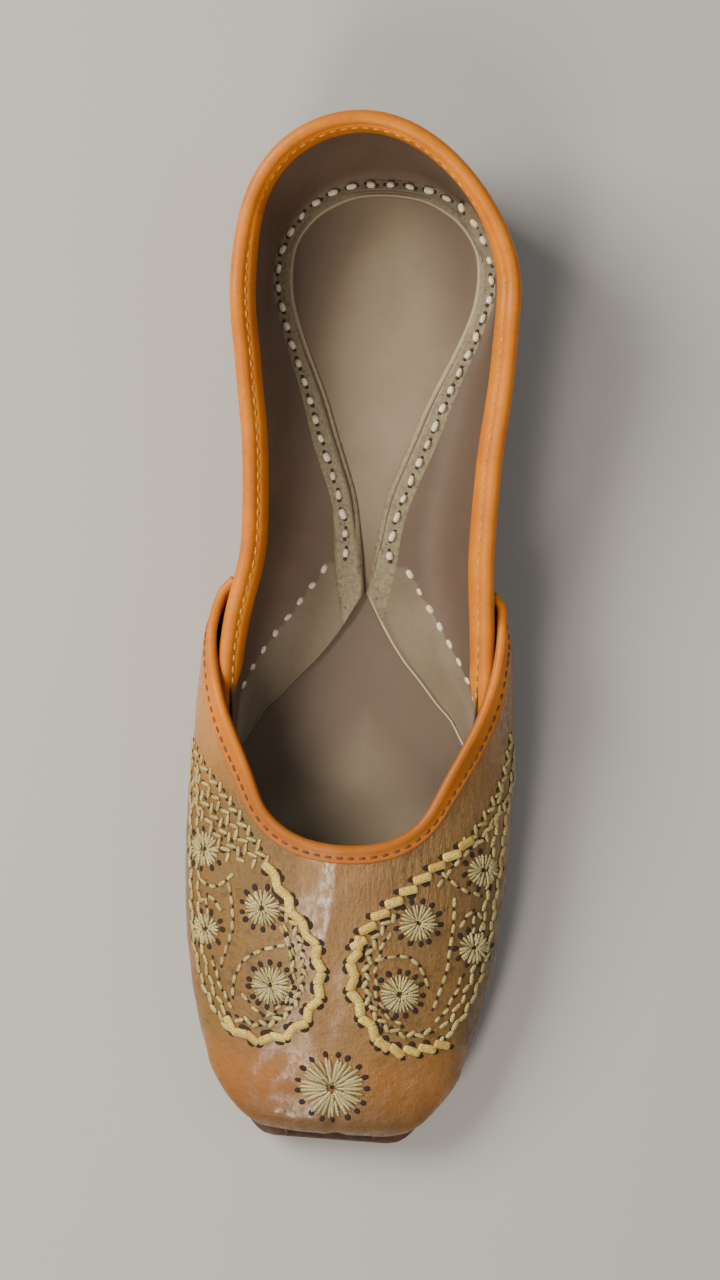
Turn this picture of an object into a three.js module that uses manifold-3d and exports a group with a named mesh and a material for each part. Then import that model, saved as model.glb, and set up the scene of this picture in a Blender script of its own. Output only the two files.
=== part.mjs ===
// A mojari: a flat South Asian slip-on shoe with a square toe, a deep round throat and a soft, lined back.
// Millimetres, +Z up. The toe points to -Y and the heel to +Y. The origin is on the floor under the middle
// of the shoe. The last is straight, so the shoe goes on either foot. Stations along the shoe are shares of
// its length, counted from the back of the heel (0) to the tip of the toe (1).

import * as THREE from "three";
import { mergeVertices } from "three/addons/utils/BufferGeometryUtils.js";
import Module from "manifold-3d";

// Driving dimensions.
const shoeLength = 256;
const ballWidth = 82;
const throatHeight = 40; // top of the vamp at the front of the throat
const backHeight = 53; // top of the upper at the back of the heel, without its binding
const heelRise = 5; // how far the heel lift raises the outsole
const toeSpring = 5; // how far the toe of the outsole rises off the floor
const shankStart = 0.27; // the sole comes down from the heel's height between these two stations
const shankEnd = 0.47;
const springStart = 0.83; // where the toe starts to rise

// Leather thicknesses and clearances.
const soleThick = 3.5;
const wallThick = 2;
const toeSkive = 0.45; // share of the wall pared away where it is turned in at the tip of the toe
const skiveStart = 0.95;
const skiveEnd = 0.985;
const insoleThick = 3;
const insoleInset = 3.2; // from the wall's outer foot to the edge of the insole
const bindingThick = 0.9;
const bindingGap = 0.4; // a folded strip lies a little looser on its wall
const gap = 0.3; // left between pieces that touch
const halfBall = ballWidth / 2;

// Colours of the finished leathers.
const tanLeather = { color: 0xb9763a, roughness: 0.45 };
const orangeLeather = { color: 0xc87427, roughness: 0.42 };
const greyLining = { color: 0x6f6155, roughness: 0.6 };
const soleLeather = { color: 0x6b4427, roughness: 0.7 };

// Half-width of the inside floor, a share of half the ball width. The waist is drawn in to a narrow bridge.
const floorTable = [
  { at: 0.136, half: 0.7 },
  { at: 0.195, half: 0.617 },
  { at: 0.25, half: 0.488 },
  { at: 0.304, half: 0.366 },
  { at: 0.355, half: 0.276 },
  { at: 0.39, half: 0.253 },
  { at: 0.421, half: 0.317 },
  { at: 0.46, half: 0.471 },
  { at: 0.506, half: 0.673 },
  { at: 0.565, half: 0.837 },
  { at: 0.623, half: 0.898 },
  { at: 0.682, half: 0.91 },
  { at: 0.76, half: 0.865 },
  { at: 0.838, half: 0.78 },
  { at: 0.92, half: 0.662 },
  { at: 1, half: 0.545 },
];
const floorToe = { start: 0.92, end: 0.987, flat: 0.3 };
const soleToe = { start: 0.92, end: 0.997, flat: 0.3 };
const toeCorner = 2.1; // how square the corners of the toe are
const floorHeel = { centre: 0.136, back: 0.036, square: 2.2 };

// The collar, the top edge of the back quarter: half-width as above, height as a share of the back height,
// and sway, how many millimetres the soft edge leans to +X.
const collarTable = [
  { at: 0.168, half: 0.843, height: 0.87, sway: 0 },
  { at: 0.25, half: 0.807, height: 0.8, sway: 0.9 },
  { at: 0.33, half: 0.756, height: 0.737, sway: 1.4 },
  { at: 0.41, half: 0.741, height: 0.686, sway: 1.6 },
  { at: 0.49, half: 0.795, height: 0.648, sway: 0.5 },
  { at: 0.53, half: 0.81, height: 0.632, sway: 0.3 },
];
const collarHeel = { centre: 0.168, back: 0.0082, square: 1.95, lean: -4.5 };
const quarterFront = 0.53;
const sideShare = 0.64; // share of the horseshoe outline that each side takes, and the heel has the rest
const wallOut = [0.5, 0.93]; // curve handles of the quarter's wall: it spreads at once at its foot
const wallUp = [0, 0.45]; // and rises late

// The vamp's widest line, where the leather rolls over the edge of the sole. The height is in millimetres
// above the sole.
const bulgeTable = [
  { at: 0.43, half: 0.86, height: 22 },
  { at: 0.494, half: 0.929, height: 20 },
  { at: 0.548, half: 0.963, height: 17 },
  { at: 0.611, half: 0.99, height: 14.5 },
  { at: 0.673, half: 1, height: 13 },
  { at: 0.736, half: 0.985, height: 12 },
  { at: 0.798, half: 0.958, height: 10.5 },
  { at: 0.852, half: 0.9, height: 9.5 },
  { at: 0.92, half: 0.782, height: 8 },
  { at: 1, half: 0.63, height: 6 },
];
const bulgeToe = { start: 0.92, end: 0.99, flat: 0.33 };
const bulgeTurn = 0.4; // share of an arch's points that lie below its widest line
const leastBulge = 0.5; // the vamp always rolls out at least this far over its foot
const footSpread = 1.5; // the vamp's foot lies this far outside the quarter's where they overlap
const spreadStart = 0.545; // the spread dies away between these two stations
const spreadEnd = 0.6;
const uprightStart = 0.88; // the lower wall stands up straighter towards the tip
const uprightEnd = 0.95;
const lowerWall = { lean: 0.6, tipLean: 0.1, tipRise: 0.3, turn: 0.45, tipTurn: 0.65 }; // its curve handles

// The ridge along the middle of the vamp, and its unseen run over the throat: height as a share of the
// throat height, and how square the arch under it is.
const ridgeTable = [
  { at: 0.43, height: 1.9, full: 0.6 },
  { at: 0.5, height: 1.6, full: 0.6 },
  { at: 0.55, height: 1.31, full: 0.6 },
  { at: 0.6, height: 1.18, full: 0.6 },
  { at: 0.65, height: 1.08, full: 0.6 },
  { at: 0.7, height: 1, full: 0.6 },
  { at: 0.747, height: 0.95, full: 0.61 },
  { at: 0.798, height: 0.865, full: 0.63 },
  { at: 0.845, height: 0.775, full: 0.66 },
  { at: 0.884, height: 0.69, full: 0.69 },
  { at: 0.923, height: 0.6, full: 0.72 },
  { at: 0.966, height: 0.49, full: 0.75 },
  { at: 1, height: 0.46, full: 0.75 },
];
const toeShoulder = { start: 0.962, end: 0.99, square: 2.6 };

// Half of the throat's outline seen from above, from its front on the ridge to the end of the wing.
const throatFront = 0.7;
const wingEnd = 0.447;
const wingFootLift = 0.5; // the wing's foot lies on the quarter's, not on the sole
const wingHeight = 0.93; // share of the quarter's height that the wing's end reaches
const wingBond = 0.9; // how much thicker the wing's wall is where it is sewn down on the quarter
const wingStandOff = 2.1; // how far the wing's top edge stands off the quarter
const wingBite = 0.1; // how far the wing and the quarter run into each other, so that they are one solid
const wingOpening = 0.014; // the wing lets go of the quarter over this share of the length
const wingSeam = 0.45; // share of the wing's height below which it stays sewn down
const wingBlend = 0.06; // the wing becomes the free vamp over this share of the length
const wingFoot = 0.424; // where the wing's back edge meets the sole
const frontFoot = 0.79; // where the line down from the front of the throat meets the sole
const throatOutline = new THREE.CurvePath();
throatOutline.add(
  new THREE.CubicBezierCurve(
    stationPoint(0, throatFront),
    stationPoint(11.5, throatFront),
    stationPoint(19, 0.684),
    stationPoint(22.3, 0.652),
  ),
);
throatOutline.add(
  new THREE.CubicBezierCurve(
    stationPoint(22.3, 0.652),
    stationPoint(27.7, 0.602),
    stationPoint(36.6, 0.555),
    stationPoint(36.4, 0.49),
  ),
);
throatOutline.add(
  new THREE.LineCurve(stationPoint(36.4, 0.49), stationPoint(35.6, wingEnd)),
);

// How the pieces are divided up: stations, steps up a wall, and so on.
const quarterSteps = 66;
const quarterRows = 9;
const wingSteps = 24;
const toeSteps = 20;
const vampRows = 11;
const soleSteps = 64;
const heelSteps = 18;
const insoleSteps = 44;
const toeCrowding = 0.8; // how much closer the rings of a slab stand at its toe than at its middle
const columnCrowding = 0.75; // the same for the columns of the vamp

// Bindings: how far the folded strip reaches down the outside and the inside of the wall it covers. Under
// the wings the collar's outer leg is short, and over the quarter the throat's inner leg is. A leg changes
// over a share of the length, its fade. The strip stops a few steps of the edge short of its ends.
const foldRound = 0.9; // bevel along the fold
const collarBinding = { outside: 2.6, outsideUnderWing: 0.6, inside: 6.5, fade: 0.02, skip: 4 };
const throatBinding = { outside: 4, inside: 4, insideOverQuarter: 0.5, clear: 0.01, fade: 0.03, skip: 2 };
const heelLiftLength = 0.245; // share of the shoe's length
const heelLiftInset = 0.5; // how far the heel lift stays inside the outsole's edge
const soleEdge = 2.4; // how far the outsole reaches past the inside floor
const insoleFront = 0.967; // station where the insole ends
const easing = { sole: 0.8, heel: 0.6, insole: 0.3 }; // bevel along the lower edge of each slab
const endTrim = 0.0002; // a slab's rounded end starts this far in, so that its first ring has a width

const wasm = await Module();
wasm.setup();

function stationY(at) {
  return (0.5 - at) * shoeLength;
}

function stationPoint(x, at) {
  return new THREE.Vector2(x, stationY(at));
}

function stationOf(y) {
  return 0.5 - y / shoeLength;
}

// Rises from 0 to 1 as a value goes from one number to another, which may be the smaller.
function smooth(from, to, value) {
  return THREE.MathUtils.smoothstep((value - from) / (to - from), 0, 1);
}

// A smooth curve through one column of a table. It never overshoots its rows.
function curveThrough(table, column) {
  const slopes = table.map((row, i) => {
    if (i === 0 || i === table.length - 1) return 0;
    const before = (row[column] - table[i - 1][column]) / (row.at - table[i - 1].at);
    const after = (table[i + 1][column] - row[column]) / (table[i + 1].at - row.at);
    return before * after <= 0 ? 0 : (2 * before * after) / (before + after);
  });
  return (at) => {
    const inside = THREE.MathUtils.clamp(at, table[0].at, table[table.length - 1].at);
    let i = 0;
    while (i < table.length - 2 && table[i + 1].at < inside) i += 1;
    const width = table[i + 1].at - table[i].at;
    const t = (inside - table[i].at) / width;
    const rise = t * t * (3 - 2 * t);
    const leave = t * (1 - t) * (1 - t) * width * slopes[i];
    const arrive = t * t * (t - 1) * width * slopes[i + 1];
    return table[i][column] * (1 - rise) + table[i + 1][column] * rise + leave + arrive;
  };
}

function bezier(a, b, c, d, t) {
  const s = 1 - t;
  return a * s * s * s + 3 * b * s * s * t + 3 * c * s * t * t + d * t * t * t;
}

// Draws a half-width in to the flat front of a square toe.
function squareToe(half, toe) {
  return (at) => {
    const wide = half(Math.min(at, toe.end));
    const s = THREE.MathUtils.clamp((at - toe.start) / (toe.end - toe.start), 0, 1);
    return toe.flat + (wide - toe.flat) * Math.pow(1 - Math.pow(s, toeCorner), 1 / toeCorner);
  };
}

const floorShare = squareToe(curveThrough(floorTable, "half"), floorToe);
const soleShare = squareToe(curveThrough(floorTable, "half"), soleToe);
const collarShare = curveThrough(collarTable, "half");
const collarLevel = curveThrough(collarTable, "height");
const collarSway = curveThrough(collarTable, "sway");
const bulgeShare = squareToe(curveThrough(bulgeTable, "half"), bulgeToe);
const bulgeLevel = curveThrough(bulgeTable, "height");
const ridgeLevel = curveThrough(ridgeTable, "height");
const ridgeFull = curveThrough(ridgeTable, "full");

// Underside of the outsole above the floor: raised at the heel, flat under the ball, sprung at the toe.
function soleBottom(at) {
  const spring = THREE.MathUtils.clamp((at - springStart) / (1 - springStart), 0, 1);
  return heelRise * (1 - smooth(shankStart, shankEnd, at)) + toeSpring * spring * spring;
}

function soleTop(at) {
  return soleBottom(at) + soleThick;
}

function floorLevel(at) {
  return soleTop(at) + gap;
}

// A point of the horseshoe outline, h from 0 at the front end to 1 at the middle of the back.
function horseshoe(h, heel, share, front) {
  if (h < sideShare) {
    const at = THREE.MathUtils.lerp(front, heel.centre, h / sideShare);
    return { x: share(at) * halfBall, at };
  }
  const turn = ((h - sideShare) / (1 - sideShare)) * (Math.PI / 2);
  const out = Math.pow(Math.cos(turn), 2 / heel.square);
  const back = Math.pow(Math.sin(turn), 2 / heel.square);
  return {
    x: share(heel.centre) * halfBall * Math.max(out, 0),
    at: heel.centre - (heel.centre - heel.back) * back,
  };
}

// The outer face of the quarter: u runs round it from -1 to 1 through the back at 0, v up from the sole.
function quarterPoint(u, v) {
  const h = 1 - Math.abs(u);
  const foot = horseshoe(h, floorHeel, floorShare, quarterFront);
  const top = horseshoe(h, collarHeel, collarShare, quarterFront);
  const out = bezier(0, ...wallOut, 1, v);
  const up = bezier(0, ...wallUp, 1, v);
  const level = THREE.MathUtils.lerp(
    collarLevel(top.at),
    1,
    smooth(collarHeel.centre, collarHeel.back, top.at),
  );
  const low = floorLevel(foot.at);
  const lean = collarHeel.lean * smooth(collarHeel.centre, collarHeel.back, top.at);
  const sway = (collarSway(top.at) + lean) * up;
  const side = Math.sign(u) || 1;
  return new THREE.Vector3(
    side * THREE.MathUtils.lerp(foot.x, top.x, out) + sway,
    stationY(THREE.MathUtils.lerp(foot.at, top.at, out)),
    THREE.MathUtils.lerp(low, level * backHeight, up),
  );
}

// The quarter's outer face at one station of its side, pushed outwards by the wing that is sewn over it.
function huggingPoint(at, v, side) {
  const h = (sideShare * (quarterFront - at)) / (quarterFront - collarHeel.centre);
  const point = quarterPoint(side * (1 - h), v * wingHeight);
  const open = smooth(wingEnd, wingEnd + wingOpening, at) * smooth(wingSeam, 1, v);
  point.x += side * (wallThick - wingBite + wingStandOff * open);
  point.z = Math.max(point.z, floorLevel(at));
  point.wall = wallThick + wingBond * (1 - open);
  return point;
}

// The outer face of the whole arch at a station: t runs from the sole, over the bulge, to the ridge.
function archPoint(at, t, side) {
  const low = floorLevel(at);
  const far = THREE.MathUtils.clamp((at - toeShoulder.start) / (toeShoulder.end - toeShoulder.start), 0, 1);
  const drop = Math.pow(1 - Math.pow(far, toeShoulder.square), 1 / toeShoulder.square);
  const foot = floorShare(at) * halfBall + footSpread * (1 - smooth(spreadStart, spreadEnd, at));
  const wide = foot + Math.max(bulgeShare(at) * halfBall - foot, leastBulge) * drop;
  const belly = bulgeLevel(at) * drop;
  if (t < bulgeTurn) {
    const rise = t / bulgeTurn;
    const upright = smooth(uprightStart, uprightEnd, at);
    const lean = THREE.MathUtils.lerp(lowerWall.lean, lowerWall.tipLean, upright);
    const turn = THREE.MathUtils.lerp(lowerWall.turn, lowerWall.tipTurn, upright);
    return new THREE.Vector3(
      side * bezier(foot, foot + lean * (wide - foot), wide, wide, rise),
      stationY(at),
      low + bezier(0, lowerWall.tipRise * upright * belly, turn * belly, belly, rise),
    );
  }
  const over = (t - bulgeTurn) / (1 - bulgeTurn);
  const crown = (ridgeLevel(at) * throatHeight - low) * drop;
  const full = ridgeFull(at);
  return new THREE.Vector3(
    side * bezier(wide, wide, wide * (1 - full), 0, over),
    stationY(at),
    low + bezier(belly, belly + full * (crown - belly), crown, crown, over),
  );
}

// Where on the arch, from 0 at the sole to 1 at the ridge, its half-width has come in to a given one.
function archCut(at, half) {
  let low = bulgeTurn;
  let high = 1;
  for (let i = 0; i < 30; i++) {
    const middle = (low + high) / 2;
    if (archPoint(at, middle, 1).x > half) low = middle;
    else high = middle;
  }
  return high;
}

// A point of the finished vamp: free over the foot, and drawn in against the quarter at the wing's end.
function vampPoint(column, v, side) {
  const at = THREE.MathUtils.lerp(column.foot, column.at, v);
  const free = archPoint(at, v * column.top, side);
  const loose = smooth(wingEnd, wingEnd + wingBlend, at);
  free.wall = wallThick * (1 - toeSkive * smooth(skiveStart, skiveEnd, at));
  free.z += wingFootLift * (1 - v) * (1 - loose);
  if (loose >= 1) return free;
  const held = huggingPoint(at, v, side);
  held.z += wingFootLift * (1 - v);
  const point = held.clone().lerp(free, loose);
  point.wall = THREE.MathUtils.lerp(held.wall, free.wall, loose);
  return point;
}

// Columns of the vamp: from the wing's end along the throat, and on down the ridge to the toe.
function vampColumns() {
  const columns = [];
  for (let i = 0; i < wingSteps; i++) {
    const p = throatOutline.getPointAt(1 - i / wingSteps);
    const at = stationOf(p.y);
    const foot = THREE.MathUtils.lerp(wingFoot, frontFoot, i / wingSteps);
    columns.push({ at, foot, top: archCut(at, p.x) });
  }
  for (let i = 0; i <= toeSteps; i++) {
    const t = i / toeSteps;
    const eased = THREE.MathUtils.lerp(t, Math.sin((t * Math.PI) / 2), columnCrowding);
    const at = THREE.MathUtils.lerp(throatFront, toeShoulder.end, eased);
    const foot = THREE.MathUtils.lerp(frontFoot, toeShoulder.end, eased);
    columns.push({ at, foot, top: 1 });
  }
  return columns;
}

function geometryOf(points, triangles) {
  const geometry = new THREE.BufferGeometry();
  const flat = points.flatMap((p) => [p.x, p.y, p.z]);
  geometry.setAttribute("position", new THREE.Float32BufferAttribute(flat, 3));
  geometry.setIndex(triangles.flat());
  return geometry;
}

function vertexNormals(points, triangles) {
  const normals = points.map(() => new THREE.Vector3());
  for (const [a, b, c] of triangles) {
    const ab = points[b].clone().sub(points[a]);
    const ac = points[c].clone().sub(points[a]);
    const face = ab.cross(ac);
    for (const i of [a, b, c]) normals[i].add(face);
  }
  return normals.map((n) => n.normalize());
}

// Gives an open sheet a wall: the sheet is the outer face, and its open edges are closed with a strip.
function thicken(sheet) {
  const { points, triangles } = sheet;
  const normals = vertexNormals(points, triangles);
  const inner = points.map((p, i) => p.clone().addScaledVector(normals[i], -(p.wall ?? wallThick)));
  const count = points.length;
  const edges = new Set();
  for (const [a, b, c] of triangles) {
    edges.add(a + "," + b).add(b + "," + c).add(c + "," + a);
  }
  const closed = triangles.concat(
    triangles.map(([a, b, c]) => [a + count, c + count, b + count]),
  );
  for (const edge of edges) {
    const [a, b] = edge.split(",").map(Number);
    if (!edges.has(b + "," + a)) {
      closed.push([b, a, a + count], [b, a + count, b + count]);
    }
  }
  return geometryOf(points.concat(inner), closed);
}

// Joins rings of points, each ring with the same count, and closes the two ends.
function loft(rings) {
  const count = rings[0].length;
  const triangles = [];
  for (let r = 0; r < rings.length - 1; r++) {
    for (let i = 0; i < count; i++) {
      const a = r * count + i;
      const b = r * count + ((i + 1) % count);
      triangles.push([a, b, b + count], [a, b + count, a + count]);
    }
  }
  const last = (rings.length - 1) * count;
  const outline = rings[0].map((p) => new THREE.Vector2(p.flatX ?? p.x, p.flatY ?? p.z));
  const clockwise = THREE.ShapeUtils.isClockWise(outline);
  for (const [a, b, c] of THREE.ShapeUtils.triangulateShape(outline, [])) {
    if (clockwise) triangles.push([a, b, c], [last + a, last + c, last + b]);
    else triangles.push([a, c, b], [last + a, last + b, last + c]);
  }
  return geometryOf(rings.flat(), triangles);
}

function solidOf(geometry) {
  const bare = new THREE.BufferGeometry();
  bare.setAttribute("position", geometry.getAttribute("position"));
  bare.setIndex(geometry.index);
  const merged = mergeVertices(bare, 1e-4);
  return new wasm.Manifold(
    new wasm.Mesh({
      numProp: 3,
      vertProperties: merged.attributes.position.array,
      triVerts: new Uint32Array(merged.index.array),
    }),
  );
}

function geometryFrom(solid) {
  const mesh = solid.getMesh();
  const geometry = new THREE.BufferGeometry();
  geometry.setAttribute("position", new THREE.BufferAttribute(mesh.vertProperties, 3));
  geometry.setIndex(new THREE.BufferAttribute(mesh.triVerts, 1));
  return geometry;
}

function meshOf(name, geometry, finish) {
  geometry.computeVertexNormals();
  const mesh = new THREE.Mesh(geometry, new THREE.MeshStandardMaterial({ metalness: 0, ...finish }));
  mesh.name = name;
  return mesh;
}

function quarterSheet() {
  const points = [];
  const triangles = [];
  const across = quarterRows + 1;
  for (let i = 0; i <= quarterSteps; i++) {
    for (let j = 0; j <= quarterRows; j++) {
      points.push(quarterPoint(1 - (2 * i) / quarterSteps, j / quarterRows));
    }
  }
  for (let i = 0; i < quarterSteps; i++) {
    for (let j = 0; j < quarterRows; j++) {
      const a = i * across + j;
      triangles.push([a, a + across, a + across + 1], [a, a + across + 1, a + 1]);
    }
  }
  const topEdge = [];
  for (let i = 0; i <= quarterSteps; i++) topEdge.push(i * across + quarterRows);
  return { points, triangles, topEdge };
}

function vampSheet() {
  const points = [];
  const triangles = [];
  const columns = vampColumns();
  const places = { 1: [], "-1": [] };
  for (const side of [1, -1]) {
    columns.forEach((column, i) => {
      places[side][i] = [];
      for (let j = 0; j <= vampRows; j++) {
        const onRidge = j === vampRows && column.top === 1;
        if (onRidge && side === -1) {
          places[side][i][j] = places[1][i][j];
          continue;
        }
        places[side][i][j] = points.length;
        points.push(vampPoint(column, j / vampRows, side));
      }
    });
    for (let i = 0; i < columns.length - 1; i++) {
      for (let j = 0; j < vampRows; j++) {
        const a = places[side][i][j];
        const b = places[side][i + 1][j];
        const c = places[side][i + 1][j + 1];
        const d = places[side][i][j + 1];
        if (side === 1) triangles.push([a, d, c], [a, c, b]);
        else triangles.push([a, c, d], [a, b, c]);
      }
    }
  }
  const right = places[1].slice(0, wingSteps + 1).map((column) => column[vampRows]);
  const left = places[-1].slice(0, wingSteps).map((column) => column[vampRows]);
  return { points, triangles, topEdge: right.concat(left.reverse()) };
}

// A strip folded over the top edge of a sheet. Its legs run square to the edge and bend with the wall.
function foldedStrip(sheet, legs, turn) {
  const normals = vertexNormals(sheet.points, sheet.triangles);
  const edge = sheet.topEdge.slice(legs.skip, sheet.topEdge.length - legs.skip);
  const inner = -wallThick - bindingGap;
  const outer = bindingGap + bindingThick;
  const inside = inner - bindingThick;
  const fold = -gap - bindingThick;
  const rings = edge.map((index, i) => {
    const here = sheet.points[index];
    const before = sheet.points[edge[Math.max(i - 1, 0)]];
    const after = sheet.points[edge[Math.min(i + 1, edge.length - 1)]];
    const along = after.clone().sub(before).normalize();
    const out = normals[index];
    const into = along.clone().cross(out).normalize().multiplyScalar(turn);
    const below = sheet.points[index - 1].clone().sub(here);
    const bend = (below.dot(out) * Math.pow(below.dot(into), 2)) / Math.pow(below.lengthSq(), 2);
    const [outsideLeg, insideLeg] = legs.depths(stationOf(here.y));
    const profile = [
      [outer, outsideLeg],
      [outer, outsideLeg / 2],
      [outer, fold + foldRound],
      [outer - foldRound, fold],
      [inside + foldRound, fold],
      [inside, fold + foldRound],
      [inside, insideLeg / 2],
      [inside, insideLeg],
      [inner, insideLeg],
      [inner, insideLeg / 2],
      [inner, -gap],
      [bindingGap, -gap],
      [bindingGap, outsideLeg / 2],
      [bindingGap, outsideLeg],
    ];
    return profile.map(([n, depth]) => {
      const dip = n + bend * Math.pow(Math.max(depth, 0), 2);
      const point = here.clone().addScaledVector(out, dip).addScaledVector(into, depth);
      point.flatX = n;
      point.flatY = depth;
      return point;
    });
  });
  return loft(turn > 0 ? rings.reverse() : rings);
}

// Half-width of the outsole, with its rounded heel and square toe.
function soleHalf(at) {
  const heelBack = floorHeel.back - soleEdge / shoeLength;
  if (at < floorHeel.centre) {
    const s = (floorHeel.centre - at) / (floorHeel.centre - heelBack);
    const inside = Math.pow(Math.max(1 - Math.pow(s, floorHeel.square), 0), 1 / floorHeel.square);
    return (floorShare(floorHeel.centre) * halfBall + soleEdge) * inside;
  }
  return soleShare(at) * halfBall + soleEdge;
}

// Stations that crowd towards the rounded back end, and towards the front by a given amount.
function stationsBetween(from, to, steps, crowdEnd) {
  return Array.from({ length: steps + 1 }, (_, i) => {
    const t = i / steps;
    const start = 1 - Math.cos((t * Math.PI) / 2);
    const end = Math.sin((t * Math.PI) / 2);
    const eased = t + (start - t) * (1 - t) + crowdEnd * (end - t) * t;
    return THREE.MathUtils.lerp(from, to, eased);
  });
}

// A slab whose outline is a half-width and whose faces follow two levels, with its lower edge eased off.
function slab(stations, halfAt, bottomAt, topAt, ease) {
  const rings = stations.map((at) => {
    const half = halfAt(at);
    const cut = Math.min(ease, half * 0.4);
    const y = stationY(at);
    const ring = [
      [-half, topAt(at)],
      [-half, bottomAt(at) + cut],
      [-half + cut, bottomAt(at)],
      [half - cut, bottomAt(at)],
      [half, bottomAt(at) + cut],
      [half, topAt(at)],
    ];
    return ring.map(([x, z]) => new THREE.Vector3(x, y, z));
  });
  return loft(rings);
}

function outsole() {
  const back = floorHeel.back - soleEdge / shoeLength;
  const stations = stationsBetween(back + endTrim, soleToe.end, soleSteps, toeCrowding);
  return slab(stations, soleHalf, soleBottom, soleTop, easing.sole);
}

function heelLift() {
  const back = floorHeel.back - (soleEdge - heelLiftInset) / shoeLength;
  const stations = stationsBetween(back + endTrim, heelLiftLength, heelSteps, 0);
  const half = (at) => soleHalf(at) - heelLiftInset;
  return slab(stations, half, () => 0, (at) => soleBottom(at) - gap, easing.heel);
}

function insole() {
  const back = floorHeel.back + insoleInset / shoeLength;
  const stations = stationsBetween(back + endTrim, insoleFront, insoleSteps, toeCrowding);
  const half = (at) => {
    if (at >= floorHeel.centre) return floorShare(at) * halfBall - insoleInset;
    const s = (floorHeel.centre - at) / (floorHeel.centre - back);
    const inside = Math.pow(Math.max(1 - Math.pow(s, floorHeel.square), 0), 1 / floorHeel.square);
    return (floorShare(floorHeel.centre) * halfBall - insoleInset) * inside;
  };
  return slab(stations, half, floorLevel, (at) => floorLevel(at) + insoleThick, easing.insole);
}

const quarter = quarterSheet();
const vamp = vampSheet();
const upper = solidOf(thicken(vamp)).add(solidOf(thicken(quarter)));

const collarLegs = {
  skip: collarBinding.skip,
  depths: (at) => {
    const open = smooth(wingEnd, wingEnd - collarBinding.fade, at);
    return [
      THREE.MathUtils.lerp(collarBinding.outsideUnderWing, collarBinding.outside, open),
      collarBinding.inside,
    ];
  },
};
const throatLegs = {
  skip: throatBinding.skip,
  depths: (at) => {
    const start = quarterFront + throatBinding.clear;
    const open = smooth(start, start + throatBinding.fade, at);
    return [
      throatBinding.outside,
      THREE.MathUtils.lerp(throatBinding.insideOverQuarter, throatBinding.inside, open),
    ];
  },
};

const shoe = new THREE.Group();
shoe.add(
  meshOf("upper", geometryFrom(upper), tanLeather),
  meshOf("collar_binding", foldedStrip(quarter, collarLegs, 1), orangeLeather),
  meshOf("throat_binding", foldedStrip(vamp, throatLegs, -1), orangeLeather),
  meshOf("insole", insole(), greyLining),
  meshOf("outsole", outsole(), soleLeather),
  meshOf("heel_lift", heelLift(), soleLeather),
);

export default shoe;
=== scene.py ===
import bmesh
import bpy
import math
import random
from bisect import bisect_right
from mathutils import Matrix, Vector, noise
from mathutils.bvhtree import BVHTree


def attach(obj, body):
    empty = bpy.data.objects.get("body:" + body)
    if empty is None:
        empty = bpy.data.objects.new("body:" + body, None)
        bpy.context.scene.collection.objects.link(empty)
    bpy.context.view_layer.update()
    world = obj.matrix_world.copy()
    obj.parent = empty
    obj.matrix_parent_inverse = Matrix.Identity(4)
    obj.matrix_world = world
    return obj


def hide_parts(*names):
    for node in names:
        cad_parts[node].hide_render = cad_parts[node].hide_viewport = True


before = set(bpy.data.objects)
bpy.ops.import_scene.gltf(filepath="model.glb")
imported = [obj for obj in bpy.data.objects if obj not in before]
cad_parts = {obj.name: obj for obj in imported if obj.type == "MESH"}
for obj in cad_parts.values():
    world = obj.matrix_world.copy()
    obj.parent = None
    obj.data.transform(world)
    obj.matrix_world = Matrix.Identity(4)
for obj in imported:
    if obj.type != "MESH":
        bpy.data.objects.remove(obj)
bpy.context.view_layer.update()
mm = 0.001  # the shape functions work in millimetres, and every mesh is made in metres


# The last. Stations run from 0 at the back of the heel to 1 at the tip of the toe.
last = {
    "span": 256.0,  # length that the stations divide
    "halfBall": 41.0,  # half the width at the ball of the foot
    "throatHeight": 40.0,
    "backHeight": 53.0,
    "heelRise": 5.0,
    "shankStart": 0.27,  # the sole comes down from the heel between these two stations
    "shankEnd": 0.47,
    "toeSpring": 5.0,
    "springStart": 0.83,
    "soleThick": 3.5,
    "insoleThick": 3.0,
    "gap": 0.3,  # between the outsole and what stands on it
    "wall": 2.0,  # thickness of the upper with its lining
    "sideShare": 0.64,  # share of the horseshoe outline that each side takes, and the heel has the rest
    "bulgeTurn": 0.4,  # share of a vamp section below its widest line
    "throatFront": 0.7,
    "quarterFront": 0.53,  # where the quarter's own height ends
    "quarterEnd": 0.64,  # where its leather ends, inside the vamp
}
# Half widths are shares of halfBall. Heights are shares of backHeight for the collar and of throatHeight
# for the ridge, and millimetres for the bulge.
floorTable = {
    "at": [
        *(0.136, 0.195, 0.25, 0.304, 0.355, 0.39, 0.421, 0.46),
        *(0.506, 0.565, 0.623, 0.682, 0.76, 0.838, 0.92, 1),
    ],
    "half": [
        *(0.7, 0.617, 0.488, 0.366, 0.276, 0.253, 0.317, 0.471),
        *(0.673, 0.837, 0.898, 0.91, 0.865, 0.78, 0.662, 0.545),
    ],
}
collarTable = {
    "at": [0.168, 0.25, 0.33, 0.41, 0.49, 0.53, 0.62],
    "half": [0.843, 0.807, 0.756, 0.741, 0.795, 0.81, 0.8],
    "height": [0.87, 0.8, 0.737, 0.686, 0.648, 0.632, 0.42],
    "sway": [0, 0.9, 1.4, 1.6, 0.5, 0.3, 0],
}
bulgeTable = {
    "at": [0.43, 0.494, 0.548, 0.611, 0.673, 0.736, 0.798, 0.852, 0.92, 1],
    "half": [0.86, 0.929, 0.963, 0.99, 1, 0.985, 0.958, 0.9, 0.782, 0.63],
    "height": [22, 20, 17, 14.5, 13, 12, 10.5, 9.5, 8, 6],
}
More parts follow.
